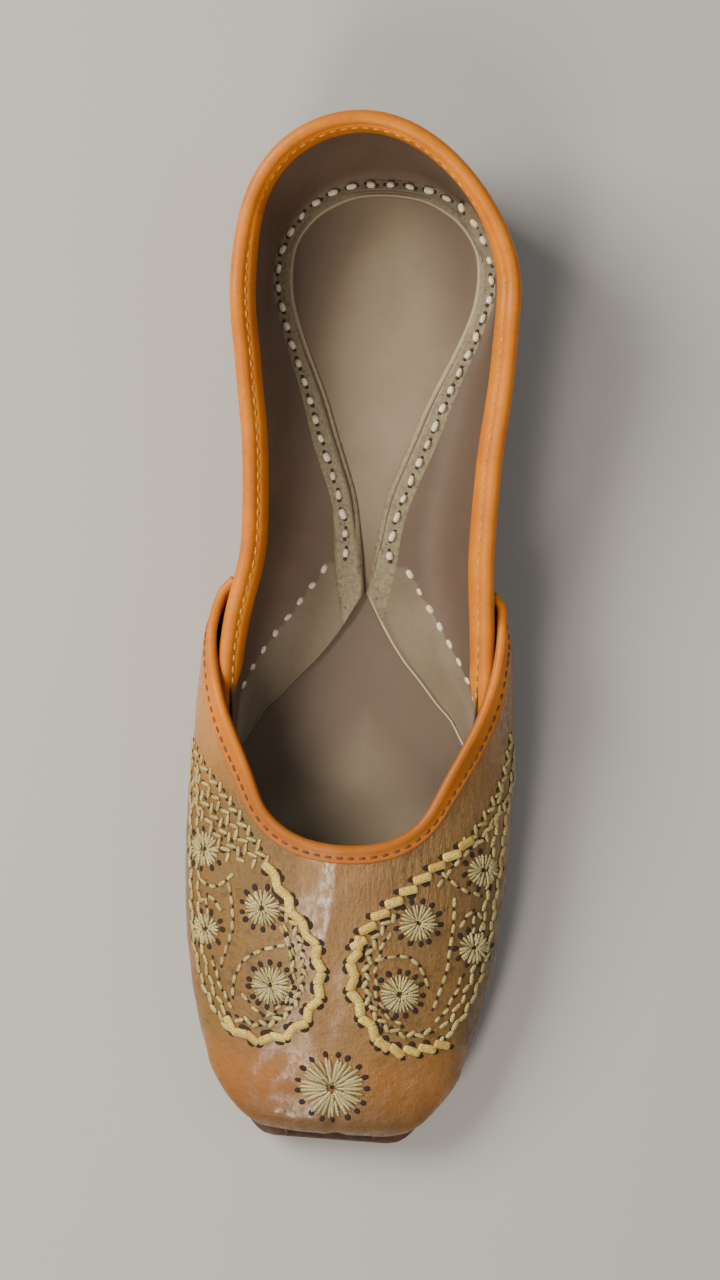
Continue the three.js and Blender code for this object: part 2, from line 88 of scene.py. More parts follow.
ridgeTable = {
    "at": [0.43, 0.5, 0.55, 0.6, 0.65, 0.7, 0.747, 0.798, 0.845, 0.884, 0.923, 0.966, 1],
    "height": [1.9, 1.6, 1.31, 1.18, 1.08, 1, 0.95, 0.865, 0.775, 0.69, 0.6, 0.49, 0.46],
    "full": [0.6, 0.6, 0.6, 0.6, 0.6, 0.6, 0.61, 0.63, 0.66, 0.69, 0.72, 0.75, 0.75],
}
floorToe = {"start": 0.92, "end": 0.987, "flat": 0.3}
soleToe = {"start": 0.92, "end": 0.997, "flat": 0.3}
bulgeToe = {"start": 0.92, "end": 0.99, "flat": 0.33}
toeShoulder = {"start": 0.962, "end": 0.99, "square": 2.6}
floorHeel = {"centre": 0.136, "back": 0.036, "square": 2.2}
collarHeel = {"centre": 0.168, "back": 0.0082, "square": 1.95, "lean": -4.5}
wing = {
    "end": 0.447,
    "foot": 0.424,  # station of its foot at its end
    "frontFoot": 0.79,  # station of the vamp's foot below the front of the throat
    "height": 0.93,  # share of the quarter's height that the wing covers
    "standOff": 2.1,  # how far its top stands off the quarter in front of its end
    "footLift": 0.5,
    "footOut": 1.5,  # how far its foot stands out from the sole's inner line
    "easing": 0.75,  # how much the columns crowd towards the toe
}


def clamp(value, low=0.0, high=1.0):
    return min(max(value, low), high)


def lerp(a, b, t):
    return a + (b - a) * t


def smooth(start, end, value):
    s = clamp((value - start) / (end - start))
    return s * s * (3 - 2 * s)


def bezier(a, b, c, d, t):
    s = 1 - t
    return a * s * s * s + 3 * b * s * s * t + 3 * c * s * t * t + d * t * t * t


def curveThrough(table, column):
    at, values = table["at"], table[column]
    slopes = [0.0] * len(at)
    for i in range(1, len(at) - 1):
        before = (values[i] - values[i - 1]) / (at[i] - at[i - 1])
        after = (values[i + 1] - values[i]) / (at[i + 1] - at[i])
        if before * after > 0:
            slopes[i] = 2 * before * after / (before + after)

    def read(where):
        x = clamp(where, at[0], at[-1])
        i = clamp(bisect_right(at, x) - 1, 0, len(at) - 2)
        width = at[i + 1] - at[i]
        t = (x - at[i]) / width
        rise = t * t * (3 - 2 * t)
        leave = t * (1 - t) * (1 - t) * width * slopes[i]
        arrive = t * t * (t - 1) * width * slopes[i + 1]
        return values[i] * (1 - rise) + values[i + 1] * rise + leave + arrive

    return read


# Closes a half width towards the tip as a superellipse quarter.
def squareToe(half, toe, corner=2.1):
    def read(at):
        wide = half(min(at, toe["end"]))
        s = clamp((at - toe["start"]) / (toe["end"] - toe["start"]))
        return toe["flat"] + (wide - toe["flat"]) * (1 - s**corner) ** (1 / corner)

    return read


floorShare = squareToe(curveThrough(floorTable, "half"), floorToe)
soleShare = squareToe(curveThrough(floorTable, "half"), soleToe)
collarShare = curveThrough(collarTable, "half")
collarLevel = curveThrough(collarTable, "height")
collarSway = curveThrough(collarTable, "sway")
bulgeShare = squareToe(curveThrough(bulgeTable, "half"), bulgeToe)
bulgeLevel = curveThrough(bulgeTable, "height")
ridgeLevel = curveThrough(ridgeTable, "height")
ridgeFull = curveThrough(ridgeTable, "full")


def stationY(at):
    return (0.5 - at) * last["span"]


def stationOf(y):
    return 0.5 - y / last["span"]


def soleBottom(at):
    rise = last["heelRise"] * (1 - smooth(last["shankStart"], last["shankEnd"], at))
    spring = clamp((at - last["springStart"]) / (1 - last["springStart"]))
    return rise + last["toeSpring"] * spring**2


def floorLevel(at):
    return soleBottom(at) + last["soleThick"] + last["gap"]


def insoleTop(at):
    return floorLevel(at) + last["insoleThick"]


# The half outline of a row of the quarter: h runs from the front of one side to the middle of the heel.
def horseshoe(h, heel, share, front):
    if h < last["sideShare"]:
        at = lerp(front, heel["centre"], h / last["sideShare"])
        return share(at) * last["halfBall"], at
    turn = (h - last["sideShare"]) / (1 - last["sideShare"]) * math.pi / 2
    out = max(math.cos(turn), 0) ** (2 / heel["square"])
    back = math.sin(turn) ** (2 / heel["square"])
    at = heel["centre"] - (heel["centre"] - heel["back"]) * back
    return share(heel["centre"]) * last["halfBall"] * out, at


# The quarter's outer face: u runs from 1 at the +X front round the heel to -1, v up from the sole.
def quarterPoint(u, v, front=last["quarterFront"]):
    h = 1 - abs(u)
    footX, footAt = horseshoe(h, floorHeel, floorShare, front)
    topX, topAt = horseshoe(h, collarHeel, collarShare, front)
    out = bezier(0, 0.5, 0.93, 1, v)
    up = bezier(0, 0, 0.45, 1, v)
    heelwards = smooth(collarHeel["centre"], collarHeel["back"], topAt)
    level = lerp(collarLevel(topAt), 1, heelwards) * last["backHeight"]
    sway = (collarSway(topAt) + collarHeel["lean"] * heelwards) * up
    side = -1 if u < 0 else 1
    x = side * lerp(footX, topX, out) + sway
    return Vector((x, stationY(lerp(footAt, topAt, out)), lerp(floorLevel(footAt), level, up)))


# The vamp's whole arch at a station: t runs from the sole, over the bulge, to the ridge.
def archPoint(at, t, side):
    low = floorLevel(at)
    far = clamp((at - toeShoulder["start"]) / (toeShoulder["end"] - toeShoulder["start"]))
    drop = (1 - far ** toeShoulder["square"]) ** (1 / toeShoulder["square"])
    foot = floorShare(at) * last["halfBall"] + wing["footOut"] * (1 - smooth(0.545, 0.6, at))
    wide = foot + max(bulgeShare(at) * last["halfBall"] - foot, 0.5) * drop
    belly = bulgeLevel(at) * drop
    if t < last["bulgeTurn"]:
        rise = t / last["bulgeTurn"]
        upright = smooth(0.88, 0.95, at)
        x = bezier(foot, foot + (0.6 - 0.5 * upright) * (wide - foot), wide, wide, rise)
        z = bezier(0, 0.3 * upright * belly, (0.45 + 0.2 * upright) * belly, belly, rise)
        return Vector((side * x, stationY(at), low + z))
    over = (t - last["bulgeTurn"]) / (1 - last["bulgeTurn"])
    crown = (ridgeLevel(at) * last["throatHeight"] - low) * drop
    full = ridgeFull(at)
    x = bezier(wide, wide, wide * (1 - full), 0, over)
    z = bezier(belly, belly + full * (crown - belly), crown, crown, over)
    return Vector((side * x, stationY(at), low + z))


# The share of the arch at which it is as wide as the throat's outline there.
def archCut(at, half):
    low, high = last["bulgeTurn"], 1.0
    for _ in range(26):
        middle = (low + high) / 2
        if archPoint(at, middle, 1).x > half:
            low = middle
        else:
            high = middle
    return high


# Half of the throat's outline in plan, as x and station, in curves from its front to the end of the wing.
throatCurves = [
    [(0, 0.7), (11.5, 0.7), (19, 0.684), (22.3, 0.652)],
    [(22.3, 0.652), (27.7, 0.602), (36.6, 0.555), (36.4, 0.49)],
    [(36.4, 0.49), (36.2, 0.48), (35.8, 0.46), (35.6, 0.447)],
]


def throatPlan(count):
    dense = []
    for curve in throatCurves:
        for i in range(60):
            x, at = (bezier(*[p[axis] for p in curve], i / 60) for axis in (0, 1))
            dense.append(Vector((x, stationY(at))))
    dense.append(Vector((throatCurves[-1][-1][0], stationY(wing["end"]))))
    return alongPath(dense, count)


# Points evenly spaced along a polyline.
def alongPath(points, count):
    runs = [0.0]
    for a, b in zip(points, points[1:]):
        runs.append(runs[-1] + (b - a).length)
    spaced = []
    for k in range(count):
        want = runs[-1] * k / (count - 1)
        i = clamp(bisect_right(runs, want) - 1, 0, len(points) - 2)
        step = runs[i + 1] - runs[i]
        spaced.append(points[i].lerp(points[i + 1], clamp((want - runs[i]) / step) if step else 0))
    return spaced


# A smooth path through a few given points, with evenly spaced points along it.
def smoothPath(points, count):
    knots = [Vector(p) for p in points]
    ends = [2 * knots[0] - knots[1], *knots, 2 * knots[-1] - knots[-2]]
    dense = []
    for i in range(1, len(ends) - 2):
        a, b, c, d = ends[i - 1 : i + 3]
        for k in range(16):
            t = k / 16
            cubic = (3 * b - a - 3 * c + d) * t**3
            dense.append(0.5 * (2 * b + (c - a) * t + (2 * a - 5 * b + 4 * c - d) * t * t + cubic))
    dense.append(knots[-1])
    return alongPath(dense, count)


def pathLength(points):
    return sum((b - a).length for a, b in zip(points, points[1:]))


# The wing's shape where it lies round the quarter.
def huggingPoint(at, v, side):
    h = last["sideShare"] * (last["quarterFront"] - at) / (last["quarterFront"] - collarHeel["centre"])
    point = quarterPoint(side * (1 - h), v * wing["height"])
    gape = smooth(wing["end"], wing["end"] + 0.014, at) * smooth(0.45, 1, v)
    point.x += side * (last["wall"] - 0.1 + wing["standOff"] * gape)
    point.z = max(point.z, floorLevel(at)) + wing["footLift"] * (1 - v)
    return point


# A point of the vamp in one of its columns, held in against the quarter at the wing's end.
def vampPoint(column, v, side):
    at = lerp(column["foot"], column["at"], v)
    free = archPoint(at, v * column["top"], side)
    loose = smooth(wing["end"], wing["end"] + 0.06, at)
    free.z += wing["footLift"] * (1 - v) * (1 - loose)
    if loose >= 1:
        return free
    return huggingPoint(at, v, side).lerp(free, loose)


# The vamp's columns, from the wing's end along the edge of the throat and on to the toe. Each has the station
# and the share of the arch where it ends, and the station of its foot.
def vampColumns(wingSteps, toeSteps):
    columns = []
    plan = throatPlan(wingSteps + 1)
    for i in range(wingSteps):
        p = plan[wingSteps - i]
        at = stationOf(p.y)
        foot = lerp(wing["foot"], wing["frontFoot"], i / wingSteps)
        columns.append({"at": at, "foot": foot, "top": archCut(at, p.x)})
    for i in range(toeSteps + 1):
        t = i / toeSteps
        eased = lerp(t, math.sin(t * math.pi / 2), wing["easing"])
        columns.append({
            "at": lerp(last["throatFront"], toeShoulder["end"], eased),
            "foot": lerp(wing["frontFoot"], toeShoulder["end"], eased),
            "top": 1.0,
        })
    return columns


# One wire of a shader or geometry tree, with arithmetic on it.
class Wire:
    def __init__(self, tree, socket=None):
        self.tree = tree
        self.socket = socket

    # Adds a node: settings first, then values or wires for its inputs, and gives one of its outputs.
    def node(self, kind, settings=None, inputs=None, output=0):
        made = self.tree.nodes.new(kind)
        for key, value in (settings or {}).items():
            setattr(made, key, value)
        for key, value in (inputs or {}).items():
            if isinstance(value, Wire):
                self.tree.links.new(value.socket, made.inputs[key])
            else:
                made.inputs[key].default_value = value
        return Wire(self.tree, made.outputs[output])

    def math(self, operation, *values):
        return self.node("ShaderNodeMath", {"operation": operation}, dict(enumerate(values)))

    def attribute(self, name):
        return self.node("ShaderNodeAttribute", {"attribute_name": name}, output=2)

    def __add__(self, other):
        return self.math("ADD", self, other)

    def __radd__(self, other):
        return self.math("ADD", other, self)

    def __sub__(self, other):
        return self.math("SUBTRACT", self, other)

    def __rsub__(self, other):
        return self.math("SUBTRACT", other, self)

    def __mul__(self, other):
        return self.math("MULTIPLY", self, other)

    def __rmul__(self, other):
        return self.math("MULTIPLY", other, self)

    def __truediv__(self, other):
        return self.math("DIVIDE", self, other)

    def __rtruediv__(self, other):
        return self.math("DIVIDE", other, self)

    def __neg__(self):
        return self.math("MULTIPLY", self, -1)

    def __abs__(self):
        return self.math("ABSOLUTE", self)

    def ease(self, low, high):
        ends = {"Value": self, "From Min": low, "From Max": high}
        return self.node("ShaderNodeMapRange", {"interpolation_type": "SMOOTHSTEP"}, ends)

    def mix(self, a, b):
        return self.node("ShaderNodeMix", {"data_type": "RGBA"}, {0: self, 6: a, 7: b}, output=2)

    def noise(self, where, size, detail=3.0, rough=0.55, stretch=None):
        if stretch:
            where = self.node("ShaderNodeVectorMath", {"operation": "MULTIPLY"}, {0: where, 1: stretch})
        values = {"Vector": where, "Scale": 1 / (size * mm), "Detail": detail, "Roughness": rough}
        return self.node("ShaderNodeTexNoise", None, values)


def rgb(red, green, blue):
    def linear(c):
        c = c / 255
        return c / 12.92 if c <= 0.04045 else ((c + 0.055) / 1.055) ** 2.4

    return (linear(red), linear(green), linear(blue), 1.0)


# A material with its own colours, roughness and bump.
# paint(wire, where, place) returns the colour, the roughness, the height in mm and, if it varies, the coat.
def material(name, paint, settings=None):
    made = bpy.data.materials.new(name)
    made.use_nodes = True
    tree = made.node_tree
    shader = tree.nodes["Principled BSDF"]
    for key, value in (settings or {}).items():
        shader.inputs[key].default_value = value
    wire = Wire(tree)
    where = wire.node("ShaderNodeTexCoord", output=3)
    split = wire.node("ShaderNodeSeparateXYZ", None, {0: where})
    place = [Wire(tree, split.socket.node.outputs[i]) / mm for i in range(3)]
    colour, roughness, height, *coat = paint(wire, where, place)
    fed = {"Base Color": colour, "Roughness": roughness}
    if coat:
        fed["Coat Weight"] = coat[0]
    if height is not None:
        fed["Normal"] = wire.node("ShaderNodeBump", None, {"Strength": 1.0, "Distance": mm, "Height": height})
    for label, value in fed.items():
        if isinstance(value, Wire):
            tree.links.new(value.socket, shader.inputs[label])
        else:
            shader.inputs[label].default_value = value
    return made


# Makes a mesh piece from points in millimetres. Every piece rides on the one body.
def addPiece(name, points, faces, finish, slot=None, replaces=None, tint=None):
    mesh = bpy.data.meshes.new(name)
    mesh.from_pydata([Vector(p) * mm for p in points], [], faces)
    if tint is not None:
        layer = mesh.attributes.new("tint", "FLOAT", "POINT")
        layer.data.foreach_set("value", tint)
    return dressPiece(name, mesh, finish, replaces)


def dressPiece(name, mesh, finish, replaces=None):
    tidy = bmesh.new()
    tidy.from_mesh(mesh)
    bmesh.ops.recalc_face_normals(tidy, faces=tidy.faces)
    tidy.to_mesh(mesh)
    tidy.free()
    mesh.polygons.foreach_set("use_smooth", [True] * len(mesh.polygons))
    mesh.materials.clear()
    mesh.materials.append(finish)
    piece = bpy.data.objects.new(name, mesh)
    bpy.context.scene.collection.objects.link(piece)
    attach(piece, "root")
    if replaces:
        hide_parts(replaces)
    return piece


def gridFaces(columns, rows, wrapRows=False):
    faces = []
    for i in range(columns - 1):
        for j in range(rows if wrapRows else rows - 1):
            here, ahead, above = i * rows, (i + 1) * rows, (j + 1) % rows
            faces.append((here + j, ahead + j, ahead + above, here + above))
    return faces


def sheetNormals(points, faces):
    normals = [Vector((0, 0, 0)) for _ in points]
    for face in faces:
        a, b, c, d = (points[i] for i in (face[0], face[1], face[2], face[-1]))
        across = (c - a).cross(d - b) if len(face) == 4 else (b - a).cross(c - a)
        for i in face:
            normals[i] += across
    return [n.normalized() for n in normals]


# Turns a sheet over unless its normal at one point agrees with a direction.
def turnTo(direction, points, faces, index):
    if sheetNormals(points, faces)[index].dot(Vector(direction)) < 0:
        return [tuple(reversed(f)) for f in faces]
    return faces


# Thickens an open sheet between two depths below its face, and closes its rim.
def shellOf(points, faces, outer, inner):
    normals = sheetNormals(points, faces)
    top = [p - n * outer for p, n in zip(points, normals)]
    bottom = [p - n * inner for p, n in zip(points, normals)]
    count = len(points)
    closed = list(faces) + [tuple(i + count for i in reversed(f)) for f in faces]
    edges = {(f[k], f[(k + 1) % len(f)]) for f in faces for k in range(len(f))}
    for a, b in sorted(edges):
        if (b, a) not in edges:
            closed.append((b, a, a + count, b + count))
    return top + bottom, closed


# The skin through a row of rings of points, with its ends closed.
def sweep(rings):
    count, rows = len(rings), len(rings[0])
    points = [p for ring in rings for p in ring]
    faces = gridFaces(count, rows, True)
    faces.append(tuple(range(rows - 1, -1, -1)))
    faces.append(tuple(range((count - 1) * rows, count * rows)))
    return points, faces


# Evens each point of the rings with its neighbours along the path.
def softenRings(rings, passes):
    for _ in range(passes):
        trios = zip(rings[:1] + rings[:-1], rings, rings[1:] + rings[-1:])
        rings = [[(a + b * 2 + c) / 4 for a, b, c in zip(*trio)] for trio in trios]
    return rings


# Soft troughs that run from the throat towards the toe, and over the toe's corners.
vampCreases = [
    # x, y, x, y, depth, width
    (-8.5, -55, -5, -73, 0.28, 1.3),
    (-3.5, -54, -2.5, -70, 0.2, 1.0),
    (1.5, -54.5, 0.5, -76, 0.26, 1.2),
    (6.5, -55, 3, -72, 0.18, 1.1),
    (11, -55.5, 7, -66, 0.22, 1.2),
    (0.4, -76, -1.2, -101, 0.35, 3.2),
    (-12, -103, -20, -110, 0.3, 3.0),
    (12, -104, 20, -111, 0.3, 3.0),
    (1.2, -120, 1.8, -127, 0.45, 1.8),
    (-9, -118, -13, -124, 0.2, 1.6),
]
vampWaves = [
    # the leather's own unevenness: length across, length along, height, level in the noise, or None where it
    # follows the leather's height
    (14, 22, 0.35, None),
    (5, 7, 0.2, 4),
    (2.9, 3.8, 0.07, 9),
]


# How far the leather dips below its smooth shape.
def creaseDepth(p):
    depth = 0.0
    for ax, ay, bx, by, deep, wide in vampCreases:
        along = Vector((bx - ax, by - ay))
        offset = Vector((p.x - ax, p.y - ay))
        t = clamp(offset.dot(along) / along.length_squared)
        away = (offset - along * t).length / wide
        fade = 1 - (2 * t - 1) ** 6 * 0.8
        if away < 3:
            depth += deep * fade * (math.exp(-away * away) - 0.2 * math.exp(-((away - 1.7) ** 2) * 2))
    waves = 0.0
    for across, along, height, spot in vampWaves:
        level = p.z / across if spot is None else spot
        waves += noise.noise(Vector((p.x / across, p.y / along, level))) * height
    return depth + waves * smooth(0, 6, p.z - 8)


# Both sheets are outer faces: their points, their faces and the points of their top rim.
def vampSheet(wingSteps=76, toeSteps=64, rows=46):
    columns = vampColumns(wingSteps, toeSteps)
    points, faces, places = [], [], {}
    for side in (1, -1):
        for i, column in enumerate(columns):
            for j in range(rows + 1):
                if side == -1 and j == rows and column["top"] == 1:
                    places[side, i, j] = places[1, i, j]  # both sides share the ridge
                    continue
                places[side, i, j] = len(points)
                points.append(vampPoint(column, j / rows, side))
        for i in range(len(columns) - 1):
            for j in range(rows):
                ring = [places[side, i + a, j + b] for a, b in ((0, 0), (0, 1), (1, 1), (1, 0))]
                faces.append(tuple(ring if side == 1 else reversed(ring)))
    faces = [f for f in faces if len(set(f)) == 4]
    normals = sheetNormals(points, faces)
    points = [p - n * creaseDepth(p) for p, n in zip(points, normals)]
    rim = [places[1, i, rows] for i in range(wingSteps + 1)]
    rim += [places[-1, i, rows] for i in reversed(range(wingSteps))]
    return points, turnTo((0, 0, 1), points, faces, rim[len(rim) // 2]), rim


def quarterSheet(steps=210, rows=34):
    points = []
    for i in range(steps + 1):
        for j in range(rows + 1):
            points.append(quarterPoint(1 - 2 * i / steps, j / rows, last["quarterEnd"]))
    heelMiddle = steps // 2 * (rows + 1) + rows // 2
    faces = turnTo((0, 1, 0), points, gridFaces(steps + 1, rows + 1), heelMiddle)
    return points, faces, [i * (rows + 1) + rows for i in range(steps + 1)]


vampPoints, vampFaces, vampRim = vampSheet()
quarterPoints, quarterFaces, quarterRim = quarterSheet()
vampTree = BVHTree.FromPolygons(vampPoints, vampFaces)
quarterTree = BVHTree.FromPolygons(quarterPoints, quarterFaces)
print("sheets made", len(vampFaces), len(quarterFaces))


# Half outlines in plan: the hand stitch row round the heel, the strip's inner edge, the cut edge of the
# front flap, and the flap's own stitch row.
stitchRow = [
    *((0, 116), (7, 115.5), (13, 114), (19.2, 110), (23, 105.5), (26, 99.5)),
    *((27.1, 94), (27, 88.3), (25.5, 83), (23.5, 76.5), (20.8, 70), (18, 63)),
    *((15.5, 56), (13, 49), (10.4, 42.4), (8, 35.7), (6.3, 29), (5.6, 22)),
]
stripEdge = [
    *((0, 113), (6, 112.5), (11, 111), (17.5, 107), (22, 101), (23.3, 95)),
    *((23, 88), (21.4, 81.5), (18, 73), (14.8, 66), (12, 59.5), (9.5, 52.5)),
    *((6.5, 44.5), (3.6, 36), (1.9, 25.5), (0.2, 12.2)),
]
flapEdge = [
    *((0.2, 12.2), (5.6, 2.6), (10.5, -4.5), (15, -9.5), (20, -15.5), (23.5, -19)),
    *((27, -25), (31, -31.5), (34, -37)),
]
frontRow = [
    *((11, 17.7), (14, 13), (17.2, 8.4), (20.2, 3.9)),
    *((23.4, -0.9), (26.5, -6), (29.5, -11.9), (31.8, -17.9)),
]
heelPivot = Vector((0, 94))
lining = {
    "thick": 0.7,
    "turnHeight": (3.2, 10),  # over the insole, round the heel and at the waist
    "turnReach": (3.4, 11),
    "frontClear": 0.5,  # how much further in it lies in front, where the quarter is inside the vamp
    "curl": {1: 0.45, -1: 0.3},  # how far the flap's cut edge curls up, on the right and the left
    # painted highlight on the flap's cut edge, strong on the right and faint on the left
    "edgeHighlight": {1: 1.0, -1: 0.2},
    "steps": 230,
    "wallRows": 26,
    "turnRows": 10,
    "floorRows": 12,
}


# The place of a half outline that lies the same way from the heel's pivot, or on the sides as far down.
def meetAt(path, place):
    def key(p):
        if place.y > heelPivot.y or p.y >= heelPivot.y:
            return math.atan2(p.x, p.y - heelPivot.y)
        return math.pi / 2 + heelPivot.y - p.y

    want = key(place)
    keys = [key(p) for p in path]
    for a, b, start, end in zip(path, path[1:], keys, keys[1:]):
        if start <= want <= end:
            return a.lerp(b, (want - start) / (end - start) if end > start else 0)
    return path[-1].copy()


# How far a place inside the shoe belongs to the flaps, which begin at the front stitch row and the lines
# that carry it on past both its ends.
def flapShare(p):
    row = [Vector(q) for q in [(11, 22), *frontRow, (36, -28)]]
    within = smooth(-0.6, 0.6, meetAt(row, Vector((50, p.y))).x - abs(p.x))
    return within * smooth(21, 17.5, p.y)


# A place on the inside of the quarter's wall.
def liningWall(u, v):
    step, end = 0.004, last["quarterEnd"]
    a, b = (quarterPoint(clamp(u + way, -1, 1), v, end) for way in (-step, step))
    c, d = (quarterPoint(u, v + way, end) for way in (-step, step))
    out = (a - b).cross(d - c).normalized()
    here = quarterPoint(u, v, end)
    if out.dot(Vector((here.x, here.y - 40 if here.y > 60 else 0, 0))) < 0:
        out = -out
    return here - out * (last["wall"] + lining["frontClear"] * smooth(0.46, 0.52, stationOf(here.y)))


# The lining: down the wall, round on to the floor, and in to the strip and the cut edges of the flaps.
def liningSheet():
    steps = lining["steps"]
    wallRows, turnRows, floorRows = (lining[key] for key in ("wallRows", "turnRows", "floorRows"))
    edge = smoothPath(stripEdge, 90)
    edge = [p + (Vector((1, 0)) if p.y < 90 else (p - heelPivot).normalized()) * 1.4 for p in edge]
    edge = [p for p in edge if p.y > 26] + [Vector((1.6, 18))] + smoothPath(flapEdge, 50)
    points, tint = [], []
    for i in range(steps + 1):
        u = 1 - 2 * i / steps
        side = -1 if u < 0 else 1
        at = stationOf(liningWall(u, 0.5).y)
        waist = smooth(0.17, 0.28, at) * (1 - smooth(0.5, 0.57, at))
        low, high = 0.02, 0.9
        for _ in range(22):
            middle = (low + high) / 2
            p = liningWall(u, middle)
            if p.z < insoleTop(stationOf(p.y)) + lerp(*lining["turnHeight"], waist):
                low = middle
            else:
                high = middle
        for j in range(wallRows):
            points.append(liningWall(u, lerp(0.995, high, j / wallRows)))
            tint.append(0.0)

        wall = liningWall(u, high)
        foot = Vector((abs(wall.x), wall.y))
        inner = meetAt(edge, foot)
        across = inner - foot
        reach = min(lerp(*lining["turnReach"], waist), across.length * lerp(0.55, 0.72, waist))
        turn = foot + across.normalized() * reach
        floorZ = insoleTop(stationOf(turn.y)) + lining["thick"]
        slope = (liningWall(u, high + 0.05) - wall).normalized()
        run = (wall - Vector((side * turn.x, turn.y, floorZ))).length * 0.42
        start = wall - slope * run
        bend = lerp(foot.x, abs(start.x), waist) if waist > 0.02 else foot.x
        for j in range(turnRows):
            t = j / turnRows
            x = bezier(foot.x, bend, lerp(turn.x, foot.x, 0.42), turn.x, t)
            p = Vector((x, lerp(foot.y, turn.y, t)))
            z = bezier(wall.z, lerp(wall.z - 1.9, start.z, waist), floorZ, floorZ, t)
            points.append(Vector((side * p.x, p.y, z)))
            tint.append(flapShare(p))

        # The cut edge curls up, and on the right it carries a painted highlight, a pale line where light
        # catches it.
        for j in range(floorRows + 1):
            share = j / floorRows
            p = turn.lerp(inner, share**0.7)
            front = smooth(16, 8, p.y)
            z = insoleTop(stationOf(p.y)) + lining["thick"]
            z += lining["curl"][side] * smooth(0.75, 1, share) * front
            points.append(Vector((side * p.x, p.y, z)))
            tint.append(flapShare(p) + lining["edgeHighlight"][side] * smooth(0.9, 1, share) * front)
    faces = gridFaces(steps + 1, wallRows + turnRows + floorRows + 1)
    return points, turnTo((0, 0, 1), points, faces, -1), tint


liningPoints, liningFaces, liningTint = liningSheet()


outsole = {
    "edge": 2.4,  # how far it stands out from the floor's inner line
    "groove": 4.6,  # the stitches' distance from its edge
    "steps": 130,
    # inset and share of the height, up the edge from the underside, with the stitches' groove first
    "profile": [
        *((5.7, 0), (5.2, 0.17), (4.0, 0.17), (3.5, 0), (1.1, 0), (0.5, 0.06)),
        *((0.12, 0.22), (0, 0.45), (0, 0.75), (0.15, 0.93), (0.5, 1)),
    ],
}
heelStack = {
    "front": 0.245,  # station where it ends
    "inset": 0.5,
    "steps": 46,
    "profile": [
        *((0.9, 0), (0.4, 0.05), (0.1, 0.16), (0, 0.3), (0, 0.44)),
        *((0.22, 0.48), (0.22, 0.52), (0, 0.56), (0, 0.9), (0.2, 1)),
    ],
}
insole = {
    "inset": 1.6,
    "toeClear": 0.01,  # stations left free in front of it
    "steps": 110,
    "across": 20,
    "profile": [(0.3, 0), (0, 0.1), (0, 0.9), (0.3, 1)],
}
insoleHollows = [
    # x and y reach, y, depth: worn under the heel and the ball
    (17, 26, 84, 0.5),
    (22, 26, -50, 0.6),
]


# The last station before a piece's back, when its plan is set out from the floor's line by a margin.
def backStation(margin):
    return floorHeel["back"] - margin / last["span"]


# Half the width of a slab that follows the floor's line at a margin and closes round the heel.
def planHalf(at, share, margin):
    if at >= floorHeel["centre"]:
        return share(at) * last["halfBall"] + margin
    s = clamp((floorHeel["centre"] - at) / (floorHeel["centre"] - backStation(margin)))
    closing = (1 - s ** floorHeel["square"]) ** (1 / floorHeel["square"])
    return (floorShare(floorHeel["centre"]) * last["halfBall"] + margin) * closing


def soleHalf(at):
    return planHalf(at, soleShare, outsole["edge"])


# Cross sections of a slab, each from the lower right up its edge profile, over the top and back underneath.
def slabRings(stations, half, bottom, top, profile, acrossSteps=14):
    rings = []
    for at in stations:
        wide, low, high, y = half(at), bottom(at), top(at), stationY(at)
        shrink = min(1, wide * 0.45 / profile[0][0])
        right = [Vector((wide - inset * shrink, y, lerp(low, high, lift))) for inset, lift in profile]
        left = [Vector((-p.x, y, p.z)) for p in reversed(right)]
        across = [k / acrossSteps for k in range(1, acrossSteps)]
        topRow = [Vector((lerp(right[-1].x, left[0].x, t), y, high)) for t in across]
        bottomRow = [Vector((lerp(left[-1].x, right[0].x, t), y, low)) for t in across]
        rings.append(right + topRow + left + bottomRow)
    return rings


# Stations that crowd towards both ends, where the plan turns fastest.
def stationsBetween(start, end, steps, crowdStart=1.0, crowdEnd=0.8):
    stations = []
    for i in range(steps + 1):
        t = i / steps
        early = crowdStart * (1 - math.cos(t * math.pi / 2) - t) * (1 - t)
        late = crowdEnd * (math.sin(t * math.pi / 2) - t) * t
        stations.append(lerp(start, end, t + early + late))
    return stations


vampLook = {
    "tan": rgb(138, 96, 40),
    "deep": rgb(104, 70, 30),
    "orange": rgb(150, 88, 20),
    # lighter orange for the left wing only: painted light
    "wing": rgb(194, 124, 50),
    "pink": rgb(136, 99, 50),
    "olive": rgb(112, 84, 36),
    # rim is painted shade: the front face of the toe and the right flank
    "rim": rgb(74, 52, 16),
    "stain": rgb(76, 50, 22),
    "vein": rgb(84, 50, 24),
    "speck": rgb(70, 42, 22),
    "foot": rgb(78, 48, 20),
    "roughness": 0.3,
    "coat": 0.75,
    "shader": {"Coat Roughness": 0.15},
}


